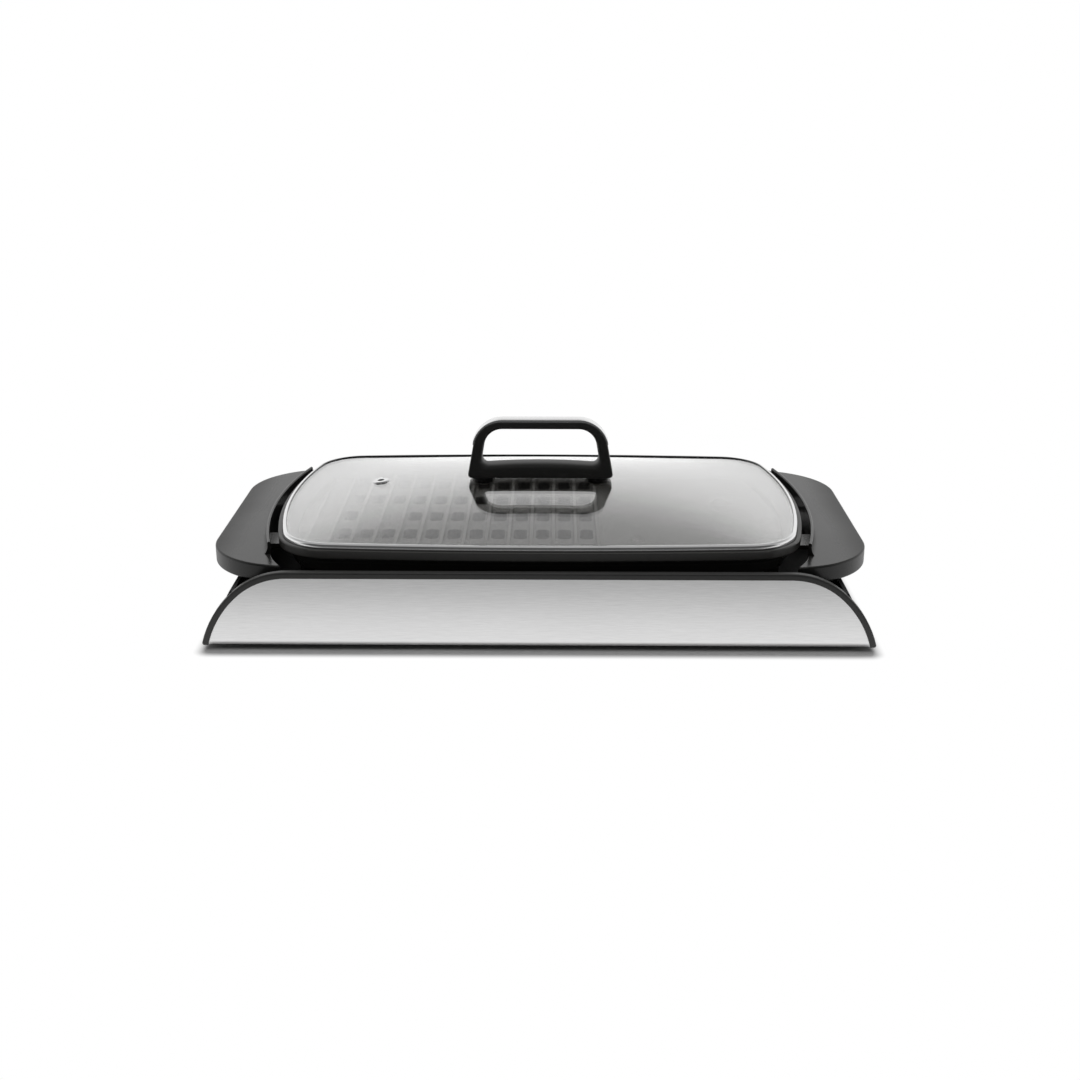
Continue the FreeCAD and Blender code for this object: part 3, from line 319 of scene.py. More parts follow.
def brushed_steel(name, tint, roughness, along):
    """Brushed sheet: fine streaks, broader bands and a few deeper scratches."""
    finish = Finish(name)
    hair = finish.noise(1.0, 4.0, 0.7, along)
    band = finish.noise(1.0, factors=tuple(part * 0.22 for part in along))
    scratch = finish.noise(1.3, 0.0, factors=tuple(part * 0.7 for part in along))
    cloud = finish.noise(9.0)
    base = finish.mix(finish.step(hair, 0.25, 0.75), shade(tint, 0.90), shade(tint, 1.07))
    base = finish.mix(finish.step(band, 0.35, 0.70) * 0.20, base, shade(tint, 0.92))
    base = finish.mix(finish.step(scratch, 0.70, 0.78) * 0.25, base, shade(tint, 0.80))
    rough = roughness + (hair - 0.5) * 0.16 + (cloud - 0.5) * 0.06
    return finish.surface(base, rough, hair * 0.8 + band * 0.2, 0.00003, metal=1.0)


def bright_metal(name, tint, roughness, lines, painted_inward_shade=None):
    """Polished or plated metal: fine lines, haze and wear spots, with painted shade where a face turns
    inwards.
    """
    finish = Finish(name)
    polish = finish.noise(1.0, 3.0, 0.6, lines)
    haze = finish.noise(35.0, 3.0)
    spots = finish.noise(420.0)
    base = finish.mix(haze, shade(tint, 0.90), shade(tint, 1.06))
    base = finish.mix(finish.step(spots, 0.66, 0.80) * 0.30, base, shade(tint, 0.72))
    # Painted shade: faces that turn towards the middle, such as the band's lip against the glass, are
    # darkened nearly to black.
    if painted_inward_shade:
        facing = finish.node("ShaderNodeTexCoord", output="Normal")
        outwards = finish.node("ShaderNodeVectorMath", {"operation": "NORMALIZE"},
                               {0: finish.stretch((1.0, 1.0, 0.0))})
        turned = 0 - finish.node("ShaderNodeVectorMath", {"operation": "DOT_PRODUCT"},
                                 {0: facing, 1: outwards}, "Value")
        base = finish.mix(finish.step(turned, *painted_inward_shade), base, shade(tint, 0.10))
    rough = roughness + haze * 0.05 + (polish - 0.5) * 0.06
    return finish.surface(base, rough, polish, 0.000012, metal=1.0)


def plated_screw(name, tint):
    """Zinc-plated steel: passivation tint and fine scuffs."""
    finish = Finish(name)
    film = finish.noise(240.0, 3.0)
    scuff = finish.noise(1500.0, 3.0, 0.7)
    base = finish.mix(film, shade((0.56, 0.58, 0.62)), shade((0.66, 0.62, 0.50)))
    base = finish.mix(finish.step(scuff, 0.58, 0.78) * 0.5, base, shade(tint, 0.55))
    return finish.surface(base, 0.30 + scuff * 0.22, scuff, 0.00002, metal=1.0)


def spangled_sheet(name, tint):
    """Galvanised sheet with crystal spangles."""
    finish = Finish(name)
    spangle = finish.lots(190.0)
    edge = finish.cells(190.0)
    stain = finish.noise(60.0, 3.0)
    base = finish.mix(spangle, shade(tint, 0.62), shade(tint, 0.98))
    base = finish.mix(finish.step(stain, 0.55, 0.85) * 0.4, base, shade(tint, 0.45))
    return finish.surface(base, 0.30 + spangle * 0.24, edge + stain * 0.4, 0.00003, metal=1.0)


def nonstick_coating(name, tint, top, wear):
    """Sprayed non-stick coating: orange peel, mica flecks, crests rubbed from their top down, and a painted
    sheen that makes it lighter below the plate's top.
    """
    finish = Finish(name)
    height = finish.axis("Z")
    peel = finish.noise(900.0, 2.0, 0.6)
    mica = finish.flecks(1400.0, (0.93, 0.96), (0.10, 0.24))
    cloud = finish.noise(22.0, 4.0)
    below = 1 - finish.step(height, top + wear * 0.2, top + wear * 0.6)
    crest = finish.step(height, top - wear, top - wear * 0.2) * below
    rub = crest * (0.45 + 0.55 * finish.noise(1.0, 3.0, factors=(400.0, 30.0, 400.0)))
    base = finish.mix(cloud, shade(tint, 0.80), shade(tint, 1.25))
    # Painted sheen: the coating below the plate's top is made lighter, standing in for its glancing
    # reflection through the glass.
    base = finish.mix(below * 0.5, base, shade(tint, 2.2))
    base = finish.mix(mica * 0.6, base, shade((0.30, 0.30, 0.29)))
    base = finish.mix(rub * 0.5, base, shade((0.16, 0.16, 0.155)))
    rough = 0.40 - below * 0.15 + (cloud - 0.5) * 0.14 - rub * 0.06 + (peel - 0.5) * 0.08
    return finish.surface(base, rough, peel, 0.00005)


def speckled_enamel(name, tint):
    """Fired enamel with pale specks and a faintly wavy gloss."""
    finish = Finish(name)
    wave = finish.noise(120.0)
    dots = finish.flecks(420.0, (0.80, 0.84), (0.12, 0.22))
    base = finish.mix(wave, shade(tint, 0.8), shade(tint, 1.3))
    base = finish.mix(dots * 0.8, base, shade((0.42, 0.43, 0.44)))
    return finish.surface(base, 0.16 + wave * 0.10, wave, 0.00006)


def heated_tube(name, tint):
    """Element sheath: oxide film in straw, brown and blue over drawn tube."""
    finish = Finish(name)
    film = finish.noise(28.0, 4.0, 0.6)
    scale = finish.noise(900.0, 3.0, 0.65)
    base = finish.mix(finish.step(film, 0.32, 0.55), shade(tint), shade((0.16, 0.11, 0.06)))
    base = finish.mix(finish.step(film, 0.56, 0.72), base, shade((0.07, 0.08, 0.11)))
    base = finish.mix(finish.step(scale, 0.55, 0.80) * 0.5, base, shade(tint, 0.35))
    return finish.surface(base, 0.42 + scale * 0.24, scale, 0.00003, metal=0.9)


def fired_ceramic(name, tint):
    """Glazed ceramic with fine crazing and iron specks."""
    finish = Finish(name)
    craze = finish.node("ShaderNodeTexVoronoi", {"feature": "DISTANCE_TO_EDGE"},
                        {"Vector": finish.place, "Scale": 900.0}, "Distance")
    speck = finish.noise(2400.0, 1.0)
    line = 1 - finish.step(craze, 0.01, 0.05)
    base = finish.mix(line * 0.4, shade(tint), shade(tint, 0.6))
    base = finish.mix(finish.step(speck, 0.70, 0.78) * 0.6, base, shade((0.30, 0.22, 0.14)))
    return finish.surface(base, 0.22 + line * 0.2, craze, 0.00002)


def moulded_rubber(name, tint):
    """Rubber with a dusty bloom and a fine matt grain."""
    finish = Finish(name)
    grain = finish.noise(2600.0)
    bloom = finish.noise(110.0, 4.0, 0.6)
    base = finish.mix(finish.step(bloom, 0.40, 0.80) * 0.5, shade(tint), shade(tint, 3.2))
    return finish.surface(base, 0.72 + bloom * 0.16, grain, 0.00004)


def clear_glass(name, tint):
    """Tempered pane: clear, faintly wavy, with a trace of haze; shadows pass through it."""
    finish = Finish(name)
    wave = finish.noise(10.0, 0.0)
    haze = finish.noise(30.0, 4.0, 0.6)
    base = finish.mix(haze, shade(tint, 0.985), shade(tint))
    pane = finish.principled({"Base Color": base, "Roughness": 0.02 + finish.step(haze, 0.45, 0.8) * 0.02,
                              "Transmission Weight": 1.0, "IOR": 1.5, "Coat Weight": 1.0,
                              "Coat Roughness": 0.0, "Coat IOR": 2.2,
                              "Normal": finish.bump(wave, 0.000004)})
    open_ = finish.node("ShaderNodeBsdfTransparent", {}, {"Color": shade(tint, 0.95)})
    passing = finish.node("ShaderNodeLightPath", output="Is Shadow Ray")
    return finish.close(finish.node("ShaderNodeMixShader", {}, {0: passing, 1: pane, 2: open_}))


def meshed(name, build):
    """A mesh from what was built."""
    mesh = bpy.data.meshes.new(name)
    build.to_mesh(mesh)
    build.free()
    return mesh


def placed(name, data):
    """A new object in the scene."""
    thing = bpy.data.objects.new(name, data)
    bpy.context.scene.collection.objects.link(thing)
    return thing


def dress(material, *names):
    """Gives CAD nodes a material."""
    for name in names:
        mesh = NODES[name].data
        mesh.materials.clear()
        mesh.materials.append(material)


def skin(build, low, high):
    """Faces between two rings of equal count."""
    for index in range(len(low)):
        after = (index + 1) % len(low)
        build.faces.new((low[index], low[after], high[after], high[index]))


def add_rings(build, rings, wrap=False):
    """Skins closed rings of equal count: round to the first ring, or closed at both ends."""
    rows = [[build.verts.new(point) for point in ring] for ring in rings]
    count = len(rows[0])
    pairs = list(zip(rows, rows[1:]))
    if wrap:
        pairs.append((rows[-1], rows[0]))
    for low, high in pairs:
        skin(build, low, high)
    if not wrap:
        for row in (rows[0], rows[-1]):
            middle = build.verts.new(sum((vert.co for vert in row), Vector()) / count)
            for index in range(count):
                build.faces.new((row[index], row[(index + 1) % count], middle))


def piece(name, build, material, body, nodes, sharp=math.radians(32)):
    """Turns a built mesh into a piece that rides on a body and stands for CAD nodes."""
    bmesh.ops.recalc_face_normals(build, faces=build.faces)
    mesh = meshed(name, build)
    mesh.shade_smooth()
    mesh.set_sharp_from_angle(angle=sharp)
    mesh.materials.append(material)
    thing = placed(name, mesh)
    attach(thing, body)
    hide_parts(*nodes)
    return thing


def islands(node):
    """Lowest and highest corner of each solid in a CAD node."""
    build = bmesh.new()
    build.from_mesh(NODES[node].data)
    bmesh.ops.remove_doubles(build, verts=build.verts, dist=1e-6)
    build.verts.ensure_lookup_table()
    left = set(build.verts)
    boxes = []
    while left:
        stack = [left.pop()]
        found = []
        while stack:
            vert = stack.pop()
            found.append(vert.co.copy())
            for edge in vert.link_edges:
                other = edge.other_vert(vert)
                if other in left:
                    left.discard(other)
                    stack.append(other)
        boxes.append((Vector([min(p[i] for p in found) for i in range(3)]),
                      Vector([max(p[i] for p in found) for i in range(3)])))
    build.free()
    return sorted(boxes, key=lambda pair: tuple(pair[0]))


def arc(centre, radius, start, end, steps):
    """Points on an arc, angles in degrees."""
    turns = [math.radians(start + (end - start) * index / steps) for index in range(steps + 1)]
    return [(centre[0] + radius * math.cos(turn), centre[1] + radius * math.sin(turn)) for turn in turns]


def all_quarters(quarter):
    """A closed ring from the points of its first quarter, which run from the X axis to the Y axis."""
    second = [(-x, y) for x, y in quarter[-2::-1]]
    half = quarter + second
    return half + [(x, -y) for x, y in half[-2:0:-1]]


def lid_outline(sizes, offset):
    """The lid's bowed outline, moved outwards by an offset."""
    side = sizes.side_bow + offset
    front = sizes.front_bow + offset
    round_ = sizes.corner + offset
    side_centre = Vector((RIM_HIGH.x - sizes.side_bow, 0))
    front_centre = Vector((0, RIM_HIGH.y - sizes.front_bow))
    between = front_centre - side_centre
    span = between.length
    ahead = between / span
    along = ((side - round_) ** 2 - (front - round_) ** 2 + span ** 2) / (2 * span)
    across = math.sqrt((side - round_) ** 2 - along ** 2)
    square = Vector((-ahead.y, ahead.x)) * across
    foot = side_centre + ahead * along
    centre = max((foot + square, foot - square), key=lambda point: point.x + point.y)
    low = math.degrees(math.atan2(centre.y - side_centre.y, centre.x - side_centre.x))
    high = math.degrees(math.atan2(centre.y - front_centre.y, centre.x - front_centre.x))
    quarter = arc(side_centre, side, 0, low, 12) + arc(centre, round_, low, high, 18)[1:]
    return all_quarters(quarter + arc(front_centre, front, high, 90, 16)[1:])


def level(ring, z):
    """Points of a flat ring at a height."""
    return [Vector((x, y, z)) for x, y in ring]


def dome_ring(sizes, base, size):
    """A ring of the dome at a share of the way from its middle to its level foot."""
    foot = lid_outline(sizes, -sizes.dome_inset)
    half_x = max(x for x, y in foot)
    half_y = max(y for x, y in foot)

    def arch(x, y):
        return (1 - (x / half_x) ** 2) * (1 - (y / half_y) ** 2)

    ring = []
    for x, y in foot:
        rise = arch(x * size, y * size) - arch(x, y) * size ** DOME_FLARE
        ring.append(Vector((x * size, y * size, base + sizes.dome_rise * rise)))
    return ring


def rounded_corner(before, point, after, radius, steps):
    """Points of a corner between two straight runs, rounded by a radius."""
    back = (before - point).normalized()
    ahead = (after - point).normalized()
    half = math.acos(max(-1.0, min(1.0, back.dot(ahead)))) / 2
    centre = point + (back + ahead).normalized() * (radius / math.sin(half))
    first = point + back * (radius / math.tan(half)) - centre
    last = point + ahead * (radius / math.tan(half)) - centre
    turn = first.angle_signed(last)
    points = []
    for index in range(steps + 1):
        spot = first.copy()
        spot.rotate(Matrix.Rotation(-turn * index / steps, 2))
        points.append(centre + spot)
    return points


def bored(thing, places, radii, axes):
    """Cuts round holes through a piece."""
    cutters = []
    for place, radius, axis in zip(places, radii, axes):
        build = bmesh.new()
        turn = UP.rotation_difference(axis).to_matrix().to_4x4()
        bmesh.ops.create_cone(build, cap_ends=True, segments=RING_STEPS, radius1=radius, radius2=radius,
                              depth=BORE_LENGTH, matrix=Matrix.Translation(place) @ turn)
        cutter = placed("bore", meshed("bore", build))
        cutters.append(cutter)
        cut = thing.modifiers.new("bore", "BOOLEAN")
        cut.operation = "DIFFERENCE"
        cut.solver = "EXACT"
        cut.object = cutter
    bpy.context.view_layer.update()
    whole = bpy.data.meshes.new_from_object(thing.evaluated_get(bpy.context.evaluated_depsgraph_get()))
    thing.modifiers.clear()
    old = thing.data
    name = old.name
    thing.data = whole
    bpy.data.meshes.remove(old)
    whole.name = name
    for cutter in cutters:
        mesh = cutter.data
        bpy.data.objects.remove(cutter)
        bpy.data.meshes.remove(mesh)


class GRILL_OT_base(bpy.types.Operator):
    """Finish the tub, the arched frames and the steel panels"""

    bl_idname = "grill.base"
    bl_label = "Base"

    def execute(self, context):
        tints = context.scene.grill_colours
        matt = grained_plastic("tub_plastic", tints.tub, grain=0.0008, depth=0.00006, roughness=0.55)
        dress(matt, "base_tub")
        satin = grained_plastic("frame_plastic", tints.frame, grain=0.0005, depth=0.00002, roughness=0.42)
        dress(satin, "front_frame", "rear_frame")
        steel = brushed_steel("panel_steel", tints.steel, roughness=0.36, along=(60.0, 60.0, 1900.0))
        dress(steel, "front_panel", "rear_panel")
        dress(moulded_rubber("pad_rubber", tints.rubber), "support_pads")
        return {"FINISHED"}


class GRILL_OT_feet(bpy.types.Operator):
    """Mould the rubber feet with a rounded rim and a grip groove"""

    bl_idname = "grill.feet"
    bl_label = "Rubber feet"

    def execute(self, context):
        sizes = context.scene.grill_sizes
        rubber = moulded_rubber("foot_rubber", context.scene.grill_colours.rubber)
        bore, recess, depth = sizes.foot_bore, sizes.foot_recess, sizes.foot_recess_depth
        groove, wide, dent, edge = (sizes.foot_groove, sizes.foot_groove_width, sizes.foot_groove_depth,
                                    sizes.foot_edge)
        build = bmesh.new()
        for low, high in islands("rubber_feet"):
            middle = (low + high) / 2
            radius = (high.x - low.x) / 2
            top = high.z
            section = [(bore, top), (bore, depth), (recess, depth), (recess, edge), (recess + edge, 0.0),
                       (groove, 0.0), (groove + edge, dent),
                       (groove + wide - edge, dent), (groove + wide, 0.0),
                       (radius - 3 * dent, 0.0), (radius - dent, edge), (radius, 2.5 * dent),
                       (radius - dent / 2, top - dent), (radius - 1.5 * dent, top)]
            rings = []
            for reach, z in section:
                ring = arc((middle.x, middle.y), reach, 0, 360, RING_STEPS)[:-1]
                rings.append(level(ring, z))
            add_rings(build, rings, True)
        piece("foot_set", build, rubber, "base", ["rubber_feet"])
        return {"FINISHED"}


def screw_profile(head_radius, head_height, shank_radius, shank_length):
    """Radius and height of each ring of a pan-head screw, from its tip to the flat of its head."""
    pitch = shank_radius * 0.45
    profile = [(shank_radius * 0.45, -shank_length)]
    z = -shank_length + shank_radius * 0.5
    while z < -pitch * 1.5:
        profile += [(shank_radius * 0.84, z), (shank_radius, z + pitch / 2)]
        z += pitch
    return profile + [
        (shank_radius * 0.9, -pitch / 2), (shank_radius * 0.9, 0.0), (head_radius * 0.96, 0.0),
        (head_radius, head_height * 0.12), (head_radius, head_height * 0.48),
        (head_radius * 0.93, head_height * 0.74), (head_radius * 0.80, head_height * 0.92),
        (head_radius * 0.62, head_height)]


def add_screw(build, seat, out, head_radius, head_height, shank_radius, shank_length):
    """A pan-head screw with a cross recess: seat is under its head, out is the way the head faces."""
    placing = Matrix.Translation(seat) @ UP.rotation_difference(out).to_matrix().to_4x4()

    def row(ring, z):
        return [build.verts.new(placing @ point) for point in level(ring, z)]

    rows = [row(arc((0, 0), radius, 0, 360, SCREW_STEPS)[:-1], z) for radius, z in
            screw_profile(head_radius, head_height, shank_radius, shank_length)]
    for low, high in zip(rows, rows[1:]):
        skin(build, low, high)
    build.faces.new(rows[0][::-1])
    half = head_radius * 0.13
    arm = head_radius * 0.50
    cross = [(arm, -half), (arm, half), (half, half), (half, arm), (-half, arm), (-half, half),
             (-arm, half), (-arm, -half), (-half, -half), (-half, -arm), (half, -arm), (half, -half)]
    mouth = row(cross, head_height)
    floor = row([(x * 0.8, y * 0.8) for x, y in cross], head_height * 0.45)
    loops = []
    for ring in (rows[-1], mouth):
        for index, vert in enumerate(ring):
            after = ring[(index + 1) % len(ring)]
            loops.append(build.edges.get((vert, after)) or build.edges.new((vert, after)))
    bmesh.ops.triangle_fill(build, use_beauty=True, edges=loops)
    skin(build, mouth, floor)
    build.faces.new(floor)


class GRILL_OT_screws(bpy.types.Operator):
    """Turn every screw with a threaded shank and a cross recess in its head"""

    bl_idname = "grill.screws"
    bl_label = "Screws"

    def execute(self, context):
        zinc = plated_screw("screw_steel", context.scene.grill_colours.steel)
        # CAD node, piece, body, axis, way the heads face (None: inwards), head height, shank radius
        sets = [("frame_screws", "frame_screw_set", "base", 1, None, 0.0022, 0.0017),
                ("foot_screws", "foot_screw_set", "base", 2, -1, 0.0018, 0.0015),
                ("shroud_screws", "shroud_screw_set", "grill", 0, 1, 0.0016, 0.0014),
                ("handle_screws", "handle_screw_set", "grill", 2, -1, 0.0022, 0.0020),
                ("lid_handle_screws", "loop_screw_set", "lid", 2, -1, 0.0024, 0.0020)]
        for node, name, body, axis, side, head, shank in sets:
            build = bmesh.new()
            for low, high in islands(node):
                middle = (low + high) / 2
                facing = side if side else (-1 if middle[axis] > 0 else 1)
                out = Vector((0, 0, 0))
                out[axis] = facing
                seat = middle.copy()
                seat[axis] = (high[axis] - head) if facing > 0 else (low[axis] + head)
                reach = (high[axis] - low[axis]) - head
                radius = (high[(axis + 1) % 3] - low[(axis + 1) % 3]) / 2
                add_screw(build, seat, out, radius, head, shank, reach)
            piece(name, build, zinc, body, [node])
        return {"FINISHED"}


class GRILL_OT_tray(bpy.types.Operator):
    """Press the drip tray with rounded bends, a raised field and a curled flange"""

    bl_idname = "grill.tray"
    bl_label = "Drip tray"

    def execute(self, context):
        sizes = context.scene.grill_sizes
        low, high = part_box("drip_tray")
        middle = (low + high) / 2
        half = (high - low) / 2
        sheet = sizes.tray_sheet
        bend = sizes.tray_bend
        flange = sizes.tray_flange

        def outline(inset):
            radius = max(sizes.tray_corner - inset, sizes.tray_inner_corner)
            centre = (half.x - inset - radius, half.y - inset - radius)
            return [(x + middle.x, y) for x, y in all_quarters(
                [(half.x - inset, 0.0)] + arc(centre, radius, 0, 90, 10) + [(0.0, half.y - inset)])]

        plateau = sizes.tray_plateau
        floor = low.z + sheet
        edge = sizes.tray_edge
        slope = sizes.tray_slope
        field = flange + bend + sizes.tray_border
        press = [(field - slope, 0.0), (field, plateau * 0.15), (field + 2 * slope, plateau * 0.85),
                 (field + 3 * slope, plateau), (field + sizes.tray_inside, plateau)]
        upper = [(inset, floor + rise) for inset, rise in press[::-1]] + [(flange + sheet + bend, floor)]
        upper += [(flange + sheet + bend - x, floor + bend - z) for x, z in
                  arc((0, 0), bend - edge, 90, 0, 6)[1:]]
        upper += [(flange + sheet, high.z - 6 * edge), (flange + sheet * 0.7, high.z - 2 * edge),
                  (flange, high.z - edge / 4), (flange - 3 * edge, high.z), (5 * edge, high.z),
                  (1.5 * edge, high.z - edge), (0.0, high.z - 3 * edge)]
        under = [(2 * edge, high.z - sheet), (flange - 4 * edge, high.z - sheet),
                 (flange, high.z - sheet - 4.5 * edge)]
        under += [(flange + bend - x, low.z + bend - z) for x, z in arc((0, 0), bend, 0, 90, 6)]
        under += [(inset, low.z + rise) for inset, rise in press]
        build = bmesh.new()
        add_rings(build, [level(outline(inset), z) for inset, z in upper + under])
        enamel = speckled_enamel("tray_enamel", context.scene.grill_colours.enamel)
        piece("drip_pan", build, enamel, "tray", ["drip_tray"])
        return {"FINISHED"}


class GRILL_OT_plate(bpy.types.Operator):
    """Coat the cast plate with its wall, legs and inlet block"""

    bl_idname = "grill.plate"
    bl_label = "Cooking plate"

    def execute(self, context):
        tint = context.scene.grill_colours.coating
        coat = nonstick_coating("plate_coating", tint, top=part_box("grill_plate")[1].z, wear=0.001)
        dress(coat, "grill_plate", "plate_rim", "plate_legs", "inlet_block")
        return {"FINISHED"}


class GRILL_OT_element(bpy.types.Operator):
    """Finish the heating element, its insulators and pins, and the shroud"""

    bl_idname = "grill.element"
    bl_label = "Heating element and inlet"

    def execute(self, context):
        tints = context.scene.grill_colours
        dress(heated_tube("element_sheath", tints.sheath), "heating_element")
        dress(fired_ceramic("insulator_glaze", tints.glaze), "terminal_insulators")
        nickel = bright_metal("pin_plating", tints.bright, roughness=0.14, lines=(60.0, 2600.0, 2600.0))
        dress(nickel, "terminal_pins")
        dress(spangled_sheet("shroud_steel", tints.steel), "terminal_shroud")
        return {"FINISHED"}


class GRILL_OT_wings(bpy.types.Operator):
    """Finish the two wing handles"""

    bl_idname = "grill.wings"
    bl_label = "Wing handles"

    def execute(self, context):
        tint = context.scene.grill_colours.wing
        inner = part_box("plate_rim")[1].x
        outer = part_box("right_handle")[1].x
        plastic = grained_plastic("wing_plastic", tint, grain=0.0006, depth=0.00003, roughness=0.24,
                                  gloss=0.30, matt=(inner, outer))
        dress(plastic, "left_handle", "right_handle")
        return {"FINISHED"}


class GRILL_OT_lid(bpy.types.Operator):
    """Blow the glass dome, roll the steel band around it and finish the vent"""

    bl_idname = "grill.lid"
    bl_label = "Lid"

    def execute(self, context):
        sizes = context.scene.grill_sizes
        tints = context.scene.grill_colours
        low = RIM_LOW.z + sizes.rim_sheet
        high = low + sizes.glass
        spread = [index / DOME_STEPS for index in range(1, DOME_STEPS + 1)]
        upper = [dome_ring(sizes, high, size) for size in spread]
        lower = [dome_ring(sizes, low, size) for size in spread]
        edge = sizes.rim_sheet
        round_ = sizes.glass / 2
        brim = [level(lid_outline(sizes, offset), high) for offset in (-sizes.brim_flat, -edge - round_)]
        brim += [level(lid_outline(sizes, -edge - round_ + x), high - round_ + z)
                 for x, z in arc((0, 0), round_, 90, -90, 8)[1:]]
        brim.append(level(lid_outline(sizes, -sizes.brim_flat), low))
        build = bmesh.new()
        add_rings(build, upper + brim + lower[::-1])
        pane = piece("lid_pane", build, clear_glass("lid_glass", tints.glass), "lid",
                     ["lid_glass", "lid_brim"], math.radians(60))
        vent_low, vent_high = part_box("steam_vent")
        vent = (vent_low + vent_high) / 2
        slope = 2 * sizes.dome_rise * vent.x / (RIM_HIGH.x - sizes.dome_inset) ** 2
        tilt = Vector((slope, 0, 1)).normalized()
        screws = [(box[0] + box[1]) / 2 for box in islands("lid_handle_screws")]
        bored(pane, [vent] + screws, [sizes.vent_bore] + [sizes.screw_bore] * len(screws),
              [tilt] + [UP] * len(screws))
        self.band(sizes, tints)
        return {"FINISHED"}

    def band(self, sizes, tints):
        """The rolled band: a rounded outer edge, a lip over the glass and one under it."""
        bottom = RIM_LOW.z
        top = RIM_HIGH.z
        sheet = sizes.rim_sheet
        width = sizes.rim_width
        roll = sizes.rim_roll
        heel = sizes.rim_heel
        curl = sheet * sizes.rim_curl
        hair = sizes.rim_gap
        section = [(-width, bottom + sheet - hair), (-width, bottom), (-heel, bottom)]
        section += arc((-heel, bottom + heel), heel, -90, 0, 4)[1:]
        section += arc((-roll, top - roll), roll, 0, 90, 10)
        section += arc((-width + curl, top - curl), curl, 90, 180, 8)
        section.append((-width + hair, top - sheet + hair))
        section += arc((-roll, top - roll), roll - sheet + hair, 90, 0, 6)
        section.append((-sheet + hair, bottom + sheet - hair))
        build = bmesh.new()
        add_rings(build, [level(lid_outline(sizes, offset), z) for offset, z in section], True)
        polish = {"tint": tints.steel, "roughness": 0.14, "lines": (30.0, 30.0, 3200.0)}
        # The band's inner lip gets painted shade where it turns in against the glass.
        steel = bright_metal("rim_steel", **polish, painted_inward_shade=(0.20, 0.55))
        piece("lid_band", build, steel, "lid", ["lid_rim"])
        dress(bright_metal("vent_steel", **polish), "steam_vent")


